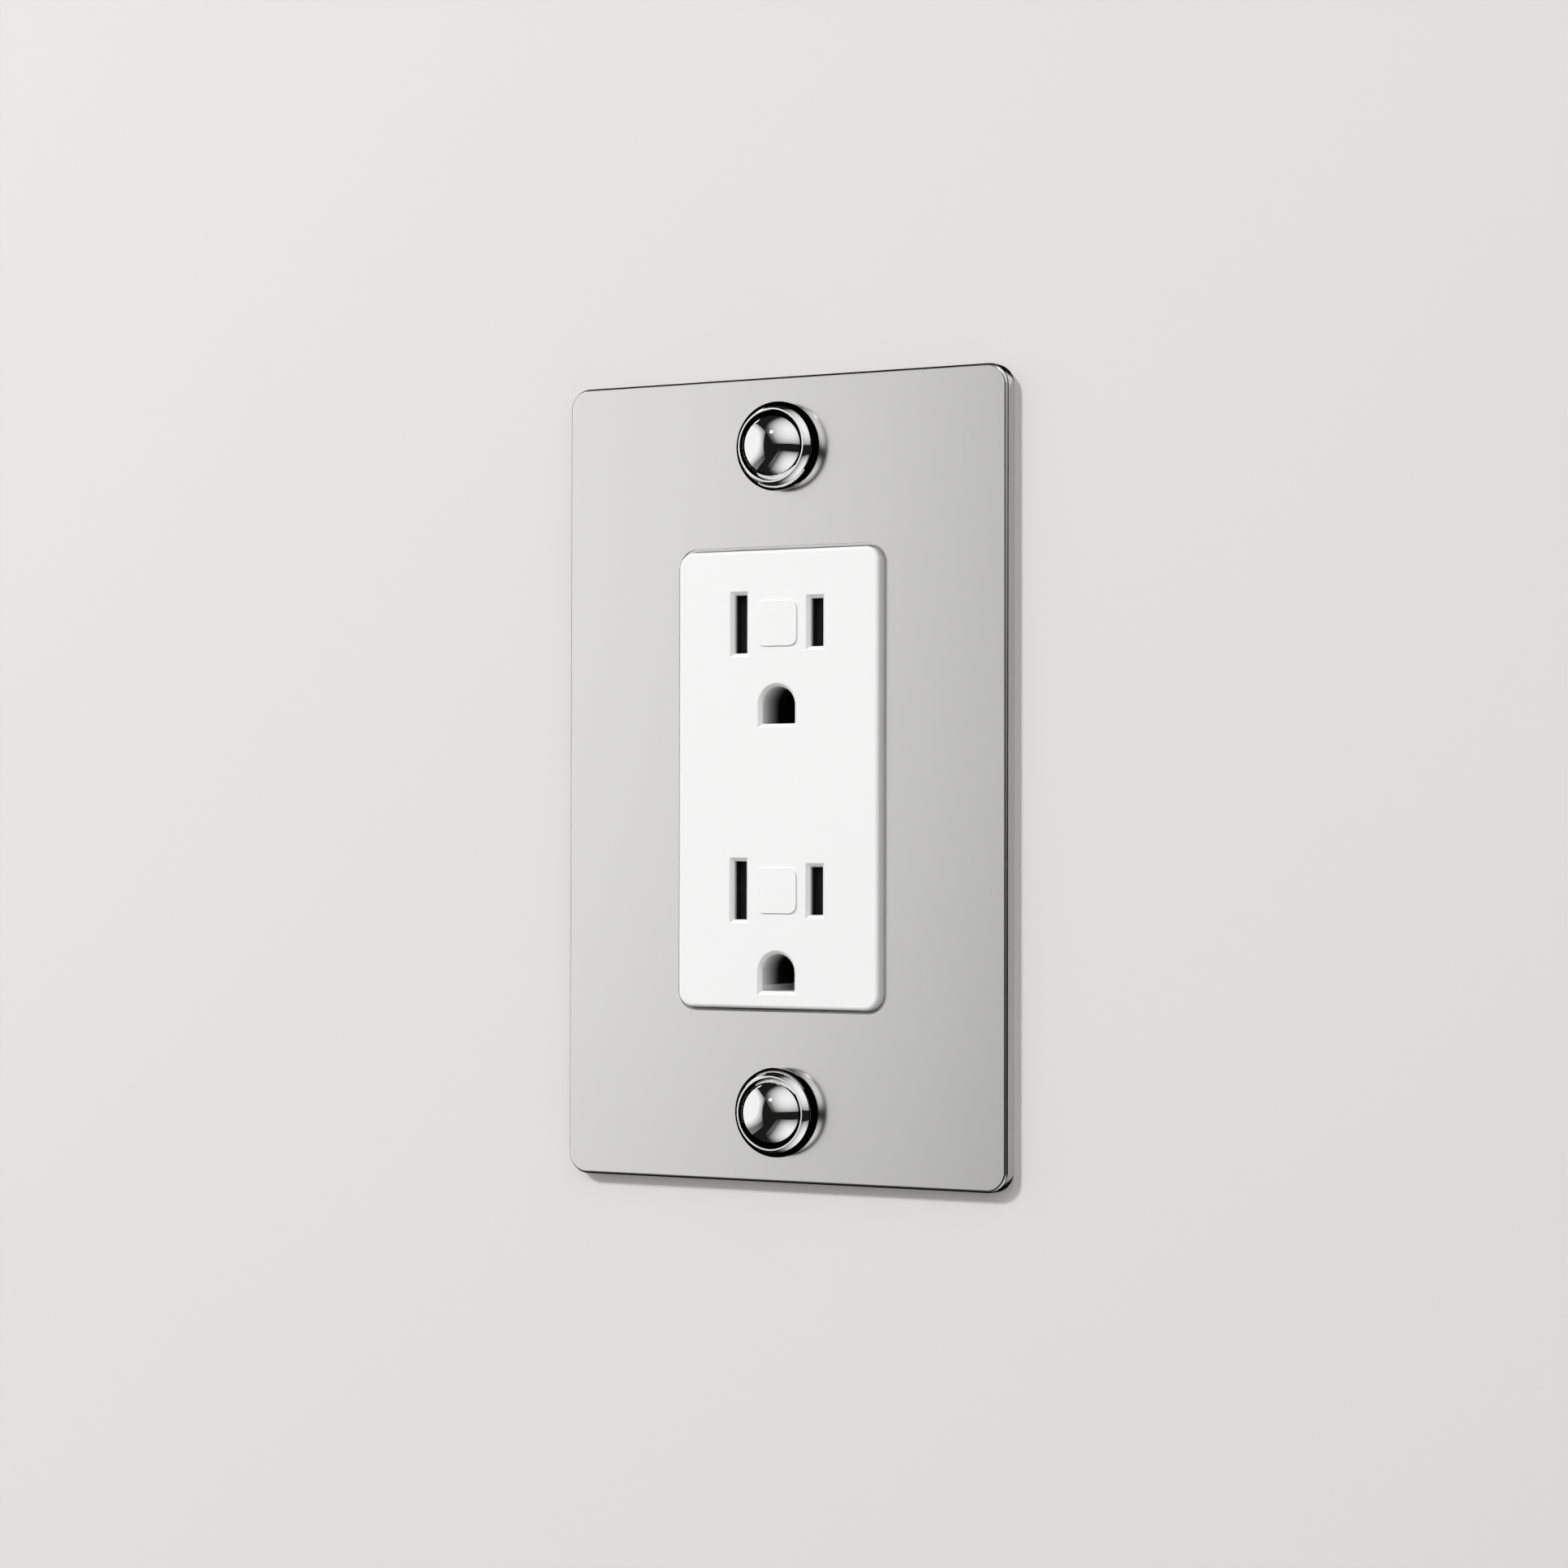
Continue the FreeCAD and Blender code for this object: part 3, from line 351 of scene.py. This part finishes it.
def edges_broken(node, finish, width, name=None, keep=None, segments=2):
    """A CAD node welded into one skin, with its sharp edges broken by a small bevel.

    keep is a plane, as a point and a direction: only what lies along the direction stays.
    """
    skin = bmesh.new()
    skin.from_mesh(frame["nodes"][node].data)
    bmesh.ops.remove_doubles(skin, verts=skin.verts, dist=weld)
    if keep:
        everything = skin.verts[:] + skin.edges[:] + skin.faces[:]
        bmesh.ops.bisect_plane(
            skin, geom=everything, plane_co=keep[0], plane_no=keep[1], clear_inner=True
        )
        bmesh.ops.holes_fill(skin, edges=[e for e in skin.edges if e.is_boundary])
    bmesh.ops.dissolve_limit(
        skin, angle_limit=flat_turn, verts=skin.verts, edges=skin.edges
    )
    for face in skin.faces:
        face.smooth = True
    mesh = bpy.data.meshes.new(name or f"{node}_made")
    skin.to_mesh(mesh)
    skin.free()
    piece = mesh_object(name or f"{node}_made", mesh, finish)
    broken = piece.modifiers.new("broken_edges", "BEVEL")
    broken.width, broken.segments = width, segments
    broken.limit_method, broken.angle_limit = "ANGLE", sharp_turn
    broken.miter_outer = "MITER_ARC"
    even = piece.modifiers.new("even_faces", "WEIGHTED_NORMAL")
    even.weight, even.keep_sharp = even_weight, False
    return piece


galvanised = Finish("galvanised_steel", Metallic=1.0, Specular_IOR_Level=0.5)
spangle = galvanised.node(
    "ShaderNodeTexVoronoi", {"feature": "SMOOTH_F1"},
    Vector=galvanised.place, Scale=420.0, out="Color",
)
spangle_shade = galvanised.node("ShaderNodeRGBToBW", {}, spangle)
zinc_bloom = galvanised.noise(0.006, detail=5.0)
rolling_lines = galvanised.noise(0.0012, detail=2.0, stretch=(1, 1, 0.03))
galvanised.feed(
    Base_Color=galvanised.blend(
        zinc_bloom * 0.6 + spangle_shade * 0.4, (0.50, 0.505, 0.50), (0.73, 0.73, 0.71)
    ),
    Roughness=0.26 + spangle_shade * 0.12 + zinc_bloom * 0.14,
)
galvanised.bump(rolling_lines + spangle_shade * 0.3, 0.00003, 0.5)
stands_for(edges_broken("mounting_strap", galvanised, 0.12 * MM), "mounting_strap")

# ---------------------------------------------------------------------------------------
# The rear body is moulded in light grey polycarbonate with a fine sparked texture, and
# has a barrier beside each terminal.
rear_plastic = Finish("rear_body_plastic", Specular_IOR_Level=0.45)
spark = rear_plastic.noise(0.00016, detail=2.0)
flow_marks = rear_plastic.noise(0.011, detail=3.0, stretch=(1, 1, 0.4))
rear_plastic.feed(
    Base_Color=rear_plastic.blend(flow_marks, (0.60, 0.605, 0.60), (0.68, 0.68, 0.665)),
    Roughness=0.48 + spark * 0.16,
)
rear_plastic.bump(spark, 0.00002, 0.45)
stands_for(edges_broken("rear_body", rear_plastic, 0.18 * MM), "rear_body")

# ---------------------------------------------------------------------------------------
# The contacts are blanked and folded from brass strip. Each has a fork for either
# outlet's blade, and the ground contact has sleeves for the round pins.
brass = Finish("contact_brass", Metallic=1.0)
tarnish = brass.noise(0.004, detail=5.0)
drawn_lines = brass.noise(0.0007, detail=2.0, stretch=(1, 1, 0.05))
brass.feed(
    Base_Color=brass.blend(tarnish ** 1.6, (0.83, 0.62, 0.29), (0.55, 0.36, 0.15)),
    Roughness=0.20 + drawn_lines * 0.12 + tarnish * 0.12,
)
brass.bump(drawn_lines, 0.00002, 0.4)
for node in ("hot_contact_strip", "neutral_contact_strip", "ground_contact"):
    stands_for(edges_broken(node, brass, 0.06 * MM), node)

# ---------------------------------------------------------------------------------------
# Zinc-plated steel rivets hold the ground contact to the strap. Their formed heads are
# slightly domed and dull where the tool struck them.
zinc = Finish("zinc_plate", Metallic=1.0)
passivate = zinc.noise(0.003, detail=4.0)
tumbling = zinc.noise(0.0003, detail=2.0)
zinc.feed(
    Base_Color=zinc.blend(passivate, (0.60, 0.60, 0.57), (0.72, 0.70, 0.62)),
    Roughness=0.22 + tumbling * 0.16,
)
zinc.bump(tumbling, 0.00001, 0.35)
stands_for(edges_broken("ground_rivets", zinc, 0.15 * MM, segments=3), "ground_rivets")


# ---------------------------------------------------------------------------------------
# The terminal screws are 8-32 with slotted heads, brass on the hot side and nickel on the
# neutral side. Each draws down a square clamp plate.
def thread_maker():
    """Node tree of a rolled thread: a ridge wound on a core, from Z = 0 up."""
    tree = bpy.data.node_groups.new("rolled_thread", "GeometryNodeTree")
    face = tree.interface
    for name in ("Core", "Crest", "Pitch", "Turns"):
        face.new_socket(name=name, in_out="INPUT", socket_type="NodeSocketFloat")
    face.new_socket(name="Metal", in_out="INPUT", socket_type="NodeSocketMaterial")
    face.new_socket(name="Thread", in_out="OUTPUT", socket_type="NodeSocketGeometry")
    given = tree.nodes.new("NodeGroupInput").outputs

    def node(kind, settings=(), **links):
        made = tree.nodes.new(kind)
        for name, value in dict(settings).items():
            setattr(made, name, value)
        for name, value in links.items():
            numbered = name[0] == "n" and name[1:].isdigit()
            socket = made.inputs[int(name[1:]) if numbered else name.replace("_", " ")]
            if isinstance(value, bpy.types.NodeSocket):
                tree.links.new(value, socket)
            else:
                socket.default_value = value
        return made

    def sums(operation, a, b):
        return node("ShaderNodeMath", {"operation": operation}, n0=a, n1=b).outputs[0]

    run_out, first_rise = 0.6, 0.3
    depth = sums("SUBTRACT", given["Crest"], given["Core"])
    length = sums("MULTIPLY", given["Pitch"], given["Turns"])
    wound = sums("SUBTRACT", given["Turns"], run_out)
    rise = sums("MULTIPLY", given["Pitch"], wound)
    helix = node(
        "GeometryNodeCurveSpiral", Resolution=28, Rotations=wound,
        Start_Radius=given["Core"], End_Radius=given["Core"], Height=rise,
    )
    ridge = node("GeometryNodeCurvePrimitiveCircle", Resolution=4, Radius=depth)
    winding = node(
        "GeometryNodeCurveToMesh",
        Curve=helix.outputs[0], Profile_Curve=ridge.outputs[0], Fill_Caps=True,
    )
    lift = node("ShaderNodeCombineXYZ", Z=sums("MULTIPLY", given["Pitch"], first_rise)).outputs[0]
    lifted = node("GeometryNodeTransform", Geometry=winding.outputs[0], Translation=lift)
    core = node("GeometryNodeMeshCylinder", Vertices=28, Radius=given["Core"], Depth=length)
    middle = node("ShaderNodeCombineXYZ", Z=sums("MULTIPLY", length, 0.5)).outputs[0]
    raised = node("GeometryNodeTransform", Geometry=core.outputs[0], Translation=middle)
    both = node("GeometryNodeJoinGeometry")
    tree.links.new(lifted.outputs[0], both.inputs[0])
    tree.links.new(raised.outputs[0], both.inputs[0])
    solid = node("GeometryNodeRealizeInstances", Geometry=both.outputs[0])
    dressed = node("GeometryNodeSetMaterial", Geometry=solid.outputs[0], Material=given["Metal"])
    tree.links.new(dressed.outputs[0], tree.nodes.new("NodeGroupOutput").inputs[0])
    return tree


thread_tree = thread_maker()


thread_pitch, thread_depth, crease_turn = 25.4 / 32 * MM, 0.28 * MM, math.radians(38)


def threaded(finish, start, end, crest, pitch=thread_pitch, depth=thread_depth):
    """A threaded shank from start to end, as a mesh in its place."""
    seed = bpy.data.objects.new("thread", bpy.data.meshes.new("thread"))
    scene.collection.objects.link(seed)
    maker = seed.modifiers.new("thread", "NODES")
    maker.node_group = thread_tree
    length = (end - start).length
    sizes = {"Core": crest - depth, "Crest": crest, "Pitch": pitch, "Turns": length / pitch}
    sizes["Metal"] = finish.material
    for socket in thread_tree.interface.items_tree:
        if socket.name in sizes:
            maker[socket.identifier] = sizes[socket.name]
    mesh = as_mesh(seed)
    turn = (end - start).to_track_quat("Z", "Y").to_matrix().to_4x4()
    mesh.transform(Matrix.Translation(start) @ turn)
    return mesh


def joined(name, finish, *meshes):
    """Several meshes as one piece, with creases where its faces meet sharply."""
    whole = bmesh.new()
    for mesh in meshes:
        whole.from_mesh(mesh)
    one = bpy.data.meshes.new(name)
    whole.to_mesh(one)
    whole.free()
    for face in one.polygons:
        face.use_smooth = True
    one.set_sharp_from_angle(angle=crease_turn)
    return mesh_object(name, one, finish)


def screw_from(node, finish, axis, under, start, end, crest, broken=0.1 * MM):
    """A screw whose head is the CAD node's, above the plane under, on a threaded shank."""
    head = edges_broken(node, finish, broken, name=f"{node}_head", keep=(under, axis))
    return joined(f"{node}_made", finish, as_mesh(head), threaded(finish, start, end, crest))


brass_screw = Finish("brass_screw", Metallic=1.0)
turning = brass_screw.noise(0.0002, detail=2.0)
handling = brass_screw.noise(0.0021, detail=4.0)
brass_screw.feed(
    Base_Color=brass_screw.blend(handling, (0.86, 0.66, 0.33), (0.70, 0.50, 0.22)),
    Roughness=0.16 + turning * 0.14 + handling * 0.08,
)
brass_screw.bump(turning, 0.00001, 0.3)
nickel_screw = Finish("nickel_screw", Metallic=1.0)
nickel_turning = nickel_screw.noise(0.0002, detail=2.0)
nickel_haze = nickel_screw.noise(0.0021, detail=4.0)
nickel_screw.feed(
    Base_Color=nickel_screw.blend(nickel_haze, (0.74, 0.72, 0.67), (0.60, 0.585, 0.54)),
    Roughness=0.16 + nickel_turning * 0.14 + nickel_haze * 0.08,
)
nickel_screw.bump(nickel_turning, 0.00001, 0.3)

terminal_crest, head_clear, thread_start = 2.06 * MM, 0.05 * MM, 0.3 * MM
for pole, side, screw_finish, plate_finish in (
    ("hot", 1, brass_screw, brass),
    ("neutral", -1, nickel_screw, nickel_screw),
):
    for end in ("upper", "lower"):
        clamp, screw = f"{end}_{pole}_clamp_plate", f"{end}_{pole}_terminal_screw"
        stands_for(edges_broken(clamp, plate_finish, 0.1 * MM), clamp)
        low, high = (Vector(corner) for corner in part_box(screw))
        middle = (low + high) / 2
        outer = Vector(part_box(clamp)[1 if side > 0 else 0])
        inner_x = low.x if side > 0 else high.x
        under = Vector((outer.x + side * head_clear, middle.y, middle.z))
        tip = Vector((inner_x, middle.y, middle.z))
        made = screw_from(
            screw, screw_finish, Vector((side, 0, 0)), under, tip,
            under + Vector((side * thread_start, 0, 0)), terminal_crest,
        )
        stands_for(made, screw)

# ---------------------------------------------------------------------------------------
# The ground screw is 8-32 with a slotted hexagon head dipped in green lacquer, over a
# plain round washer on the strap's tab.
green = Finish("green_lacquer", Coat_Weight=0.6, Coat_Roughness=0.12, Specular_IOR_Level=0.5)
dip = green.noise(0.0016, detail=4.0)
chipped = 0.69
chips = green.noise(0.0007, detail=5.0) > chipped
green.feed(
    Base_Color=green.blend(chips, (0.035, 0.25, 0.10), (0.45, 0.44, 0.40)),
    Roughness=0.24 + dip * 0.16,
    Metallic=chips * 1.0,
)
green.bump(dip - chips * 0.3, 0.00004, 0.4)
low, high = (Vector(corner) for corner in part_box("ground_terminal_screw"))
middle = (low + high) / 2
under = Vector((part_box("ground_clamp_washer")[0][0] - head_clear, middle.y, middle.z))
ground_screw = screw_from(
    "ground_terminal_screw", green, Vector((-1, 0, 0)), under,
    Vector((high.x, middle.y, middle.z)), under - Vector((thread_start, 0, 0)), terminal_crest,
)
stands_for(ground_screw, "ground_terminal_screw")
stands_for(edges_broken("ground_clamp_washer", zinc, 0.12 * MM), "ground_clamp_washer")

# ---------------------------------------------------------------------------------------
# Behind each outlet's slots a black acetal shutter slides in a white tray. A small steel
# coil spring holds it shut.
acetal = Finish("black_acetal", Specular_IOR_Level=0.5)
acetal_grain = acetal.noise(0.00025, detail=2.0)
acetal_wear = acetal.noise(0.003, detail=4.0)
acetal.feed(
    Base_Color=acetal.blend(acetal_wear, (0.012, 0.012, 0.013), (0.028, 0.028, 0.030)),
    Roughness=0.34 + acetal_grain * 0.16,
)
acetal.bump(acetal_grain, 0.00001, 0.3)
tray_plastic = Finish("tray_plastic", Specular_IOR_Level=0.45)
tray_grain = tray_plastic.noise(0.0003, detail=2.0)
tray_flow = tray_plastic.noise(0.006, detail=3.0)
tray_plastic.feed(
    Base_Color=tray_plastic.blend(tray_flow, (0.74, 0.735, 0.71), (0.80, 0.795, 0.775)),
    Roughness=0.42 + tray_grain * 0.14,
)
tray_plastic.bump(tray_grain, 0.00001, 0.3)
for end in ("upper", "lower"):
    stands_for(edges_broken(f"{end}_shutter", acetal, 0.08 * MM), f"{end}_shutter")
    tray = edges_broken(f"{end}_shutter_tray", tray_plastic, 0.08 * MM)
    stands_for(tray, f"{end}_shutter_tray")


def spring_maker():
    """Node tree of a coil spring along +Z, wound at an even pitch."""
    tree = bpy.data.node_groups.new("coil_spring", "GeometryNodeTree")
    face = tree.interface
    for name in ("Coil", "Wire", "Length", "Turns"):
        face.new_socket(name=name, in_out="INPUT", socket_type="NodeSocketFloat")
    face.new_socket(name="Metal", in_out="INPUT", socket_type="NodeSocketMaterial")
    face.new_socket(name="Spring", in_out="OUTPUT", socket_type="NodeSocketGeometry")
    given = tree.nodes.new("NodeGroupInput").outputs
    helix = tree.nodes.new("GeometryNodeCurveSpiral")
    helix.inputs["Resolution"].default_value = 20
    for socket, name in (
        ("Rotations", "Turns"), ("Start Radius", "Coil"),
        ("End Radius", "Coil"), ("Height", "Length"),
    ):
        tree.links.new(given[name], helix.inputs[socket])
    section = tree.nodes.new("GeometryNodeCurvePrimitiveCircle")
    section.inputs["Resolution"].default_value = 10
    tree.links.new(given["Wire"], section.inputs["Radius"])
    drawn = tree.nodes.new("GeometryNodeCurveToMesh")
    drawn.inputs["Fill Caps"].default_value = True
    tree.links.new(helix.outputs[0], drawn.inputs["Curve"])
    tree.links.new(section.outputs[0], drawn.inputs["Profile Curve"])
    solid = tree.nodes.new("GeometryNodeRealizeInstances")
    dressed = tree.nodes.new("GeometryNodeSetMaterial")
    tree.links.new(drawn.outputs[0], solid.inputs[0])
    tree.links.new(solid.outputs[0], dressed.inputs[0])
    tree.links.new(given["Metal"], dressed.inputs["Material"])
    tree.links.new(dressed.outputs[0], tree.nodes.new("NodeGroupOutput").inputs[0])
    return tree


spring_steel = Finish("spring_steel", Metallic=1.0)
drawing = spring_steel.noise(0.0002, detail=2.0)
temper = spring_steel.noise(0.0013, detail=3.0)
spring_steel.feed(
    Base_Color=spring_steel.blend(temper, (0.52, 0.52, 0.53), (0.68, 0.67, 0.65)),
    Roughness=0.18 + drawing * 0.14,
)
spring_steel.bump(drawing, 0.000005, 0.3)
spring_tree, spring_wire, spring_pitch = spring_maker(), 0.2 * MM, 1.2 * MM
for end in ("upper", "lower"):
    node = f"{end}_shutter_spring"
    low, high = (Vector(corner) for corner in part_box(node))
    coil, length = (high.z - low.z) / 2 - spring_wire, high.x - low.x - 2 * spring_wire
    seed = bpy.data.objects.new("spring", bpy.data.meshes.new("spring"))
    scene.collection.objects.link(seed)
    maker = seed.modifiers.new("spring", "NODES")
    maker.node_group = spring_tree
    sizes = {"Coil": coil, "Wire": spring_wire, "Length": length}
    sizes["Turns"] = length / spring_pitch
    sizes["Metal"] = spring_steel.material
    for socket in spring_tree.interface.items_tree:
        if socket.name in sizes:
            maker[socket.identifier] = sizes[socket.name]
    mesh = as_mesh(seed)
    start = Vector((low.x + spring_wire, (low.y + high.y) / 2, (low.z + high.z) / 2))
    mesh.transform(Matrix.Translation(start) @ Matrix.Rotation(math.pi / 2, 4, "Y"))
    spring = joined(f"{node}_made", spring_steel, mesh)
    stands_for(spring, node)
    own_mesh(spring)

# ---------------------------------------------------------------------------------------
# The face is moulded in white gloss thermoplastic, with a rounded edge all round and a
# chamfer round each slot. It carries a plain raised pad over each outlet. Shade is painted
# into the slots and ground holes: their walls are coloured darker with depth.
white = Finish("white_face", Specular_IOR_Level=0.5)
peel = white.noise(0.0012, detail=2.0)
polish = white.noise(0.010, detail=4.0)
gloss_white = white.blend(polish, (0.862, 0.862, 0.859), (0.876, 0.876, 0.873))
tube_x, tube_y, tube_z = (
    white.node("ShaderNodeSeparateXYZ", {}, white.place, out=axis) for axis in "XYZ"
)
tube_reach, slot_place, slot_reach, shaded_end = 2.85 * MM, 6.35 * MM, 1.1 * MM, 30 * MM
tube_mouth, tube_dark, slot_mouth, slot_dark = -3.2 * MM, 1.6 * MM, -3.1 * MM, -2.5 * MM
# Near-black painted shade for the deep walls of the slots and ground holes.
painted_hole_shade = (0.012, 0.012, 0.012)


def shaded(start, full):
    """How far the depth has gone from start to full, from 0 to 1."""
    return ((tube_y - start) * (1 / (full - start))).at_least(0.0).at_most(1.0)


# Painted shade: the slot and ground-tube walls fade to near black as they go deeper.
in_tube = (tube_x.size() < tube_reach) * shaded(tube_mouth, tube_dark)
in_slot = ((tube_x.size() - slot_place).size() < slot_reach) * shaded(slot_mouth, slot_dark)
shade = (in_tube + in_slot) * (tube_z.size() < shaded_end)
white.feed(
    Base_Color=white.blend(shade, gloss_white, painted_hole_shade),
    Roughness=0.27 + polish * 0.08,
)
white.bump(peel, 0.000008, 0.25)
stands_for(edges_broken("face_cover", white, 0.07 * MM), "face_cover")

# ---------------------------------------------------------------------------------------
# Four thread-forming screws from the back close the body, and two box screws pass
# through the strap's ears, each held by a square washer of vulcanised fibre.
stands_for(edges_broken("assembly_screws", zinc, 0.1 * MM), "assembly_screws")
fibre = Finish("vulcanised_fibre", Specular_IOR_Level=0.3)
fibre_flecks = fibre.noise(0.0004, detail=4.0)
fibre_cloud = fibre.noise(0.003, detail=3.0)
fibre_deep, fibre_pale = (0.26, 0.09, 0.045), (0.42, 0.17, 0.08)
fibre.feed(
    Base_Color=fibre.blend(fibre_flecks * 0.5 + fibre_cloud * 0.5, fibre_deep, fibre_pale),
    Roughness=0.62 + fibre_flecks * 0.2,
)
fibre.bump(fibre_flecks, 0.00004, 0.5)
stands_for(edges_broken("retaining_washers", fibre, 0.1 * MM), "retaining_washers")
low, high = (Vector(corner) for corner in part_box("box_screws"))
box_spacing, small_crest, neck_run, neck_lap = 83.34 * MM, 1.74 * MM, 0.3 * MM, 0.2 * MM
neck_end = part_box("retaining_washers")[1][1] + neck_run
head = edges_broken(
    "box_screws", zinc, 0.12 * MM, name="box_heads",
    keep=(Vector((0, neck_end, 0)), Vector((0, -1, 0))),
)
shanks = [
    threaded(zinc, Vector((0, neck_end - neck_lap, z)), Vector((0, high.y, z)), small_crest)
    for z in (box_spacing / 2, -box_spacing / 2)
]
stands_for(joined("box_screws_made", zinc, as_mesh(head), *shanks), "box_screws")

# ---------------------------------------------------------------------------------------
# The wall plate is pressed from steel sheet, with its rim turned back to the wall. It is
# brushed up and down and plated in satin nickel, and its hollow is in grey primer. Other
# pieces' reflections leave it out.
satin = Finish("satin_nickel")
brushing = satin.noise(0.00022, detail=3.0, stretch=(1, 1, 0.012))
plating = satin.noise(0.022, detail=3.0)
plated = satin.blend(plating, (0.80, 0.795, 0.785), (0.83, 0.825, 0.815))
press_x, press_y, press_z = (
    satin.node("ShaderNodeSeparateXYZ", {}, satin.place, out=axis) for axis in "XYZ"
)
hollow_front, hollow_x, hollow_z = -1.5 * MM, 34.95 * MM, 57.2 * MM
inside = (press_y > hollow_front) * (press_x.size() < hollow_x) * (press_z.size() < hollow_z)
primer = satin.blend(plating, (0.36, 0.36, 0.355), (0.44, 0.44, 0.43))
satin.feed(
    Base_Color=satin.blend(inside, plated, primer),
    Metallic=1 - inside,
    Roughness=0.20 + brushing * 0.05 + plating * 0.02 + inside * 0.4,
)
satin.bump(brushing, 0.000004, 0.3)
wall_plate = edges_broken("wall_plate", satin, 0.14 * MM, segments=3)
wall_plate.visible_glossy = False
stands_for(wall_plate, "wall_plate")


# ---------------------------------------------------------------------------------------
# Each plate screw has a polished ball head in two parts, a turned base and a spun cap
# pressed on it, over a nylon washer. Its stud is 6-32.
def lathed(name, outline, steps=160):
    """An outline of radius and rise, in mm, turned about Y; rise is toward the room."""
    turned = bmesh.new()
    rings = []
    for radius, rise in outline:
        if radius < 1e-6:
            rings.append([turned.verts.new((0, -rise * MM, 0))])
        else:
            angles = [2 * math.pi * i / steps for i in range(steps)]
            ring = [
                (radius * math.cos(a) * MM, -rise * MM, radius * math.sin(a) * MM)
                for a in angles
            ]
            rings.append([turned.verts.new(spot) for spot in ring])
    for inner, outer in zip(rings, rings[1:]):
        for i in range(steps):
            j = (i + 1) % steps
            loop = list(dict.fromkeys((
                inner[i % len(inner)], inner[j % len(inner)],
                outer[j % len(outer)], outer[i % len(outer)],
            )))
            if len(loop) > 2:
                turned.faces.new(loop)
    bmesh.ops.recalc_face_normals(turned, faces=turned.faces)
    mesh = bpy.data.meshes.new(name)
    turned.to_mesh(mesh)
    turned.free()
    for face in mesh.polygons:
        face.use_smooth = True
    mesh.set_sharp_from_angle(angle=math.radians(30))
    return mesh


def arc(start, end, radius, steps):
    """Points on an arc that bulges away from the axis, without its first point."""
    start, end = Vector(start), Vector(end)
    chord = end - start
    outward = Vector((chord.y, -chord.x)).normalized()
    if outward.x < 0:
        outward.negate()
    centre = (start + end) / 2 - outward * math.sqrt(radius ** 2 - (chord.length / 2) ** 2)
    a0 = math.atan2(*reversed(start - centre))
    a1 = math.atan2(*reversed(end - centre))
    return [
        (centre.x + radius * math.cos(a), centre.y + radius * math.sin(a))
        for a in (a0 + (a1 - a0) * i / steps for i in range(1, steps + 1))
    ]


bright_nickel = Finish("bright_nickel", Metallic=1.0)
smudges = bright_nickel.noise(0.004, detail=4.0)
buffing = bright_nickel.noise(0.0006, detail=3.0)
bright_nickel.feed(
    Base_Color=bright_nickel.blend(smudges, (0.93, 0.93, 0.93), (0.90, 0.90, 0.90)),
    Roughness=0.025 + smudges * 0.03,
)
bright_nickel.bump(buffing, 0.0000015, 0.2)
nylon = Finish("nylon", Specular_IOR_Level=0.4)
nylon_cloud = nylon.noise(0.002, detail=3.0)
nylon.feed(
    Base_Color=nylon.blend(nylon_cloud, (0.80, 0.79, 0.74), (0.86, 0.85, 0.80)),
    Roughness=0.42 + nylon_cloud * 0.12,
)
nylon.bump(nylon.noise(0.0003), 0.00001, 0.3)

foot, seam_rise, barrel_radius = 6.15, 3.4, 2.5
seam, cap_edge, recess_radius, recess_rise, crown_rise = 5.4, 5.2, 4.7, 0.5, 3.2
barrel = [(foot, 0.0)] + arc((foot, 0.0), (seam, seam_rise), barrel_radius, 40)
cap_lip, cap_sink, cap_inset, base_inset = 0.04, 0.1, 0.05, 0.4
crown_radius = (cap_edge ** 2 + crown_rise ** 2) / (2 * crown_rise)
crown = arc((cap_edge, cap_lip), (0.0, crown_rise), crown_radius, 44)
for end, side in (("upper", 1), ("lower", -1)):
    base_low, base_high = (Vector(corner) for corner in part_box(f"{end}_dome_base"))
    base_foot, axis_z = base_high.y, (base_low.z + base_high.z) / 2
    to_place = Matrix.Translation((0, base_foot, axis_z))
    outline = [(0.0, recess_rise), (recess_radius, recess_rise), (recess_radius, 0.0)]
    outline += barrel + [(cap_edge - base_inset, seam_rise), (0.0, seam_rise)]
    base = lathed(f"{end}_dome_base_made", outline)
    base.transform(to_place)
    stands_for(mesh_object(f"{end}_dome_base_made", base, bright_nickel), f"{end}_dome_base")
    shell = [(0.0, seam_rise - cap_sink), (cap_edge - cap_inset, seam_rise - cap_sink)]
    shell += [(cap_edge, seam_rise + cap_lip)]
    shell += [(radius, seam_rise + rise) for radius, rise in crown]
    cap = lathed(f"{end}_dome_cap_made", shell)
    cap.transform(to_place)
    stands_for(mesh_object(f"{end}_dome_cap_made", cap, bright_nickel), f"{end}_dome_cap")
    stud_low, stud_high = (Vector(corner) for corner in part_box(f"{end}_dome_stud"))
    stud = threaded(
        zinc, Vector((0, stud_high.y, axis_z)), Vector((0, stud_low.y, axis_z)), small_crest
    )
    stands_for(joined(f"{end}_dome_stud_made", zinc, stud), f"{end}_dome_stud")
    washer = edges_broken(f"{end}_dome_washer", nylon, 0.08 * MM)
    stands_for(washer, f"{end}_dome_washer")
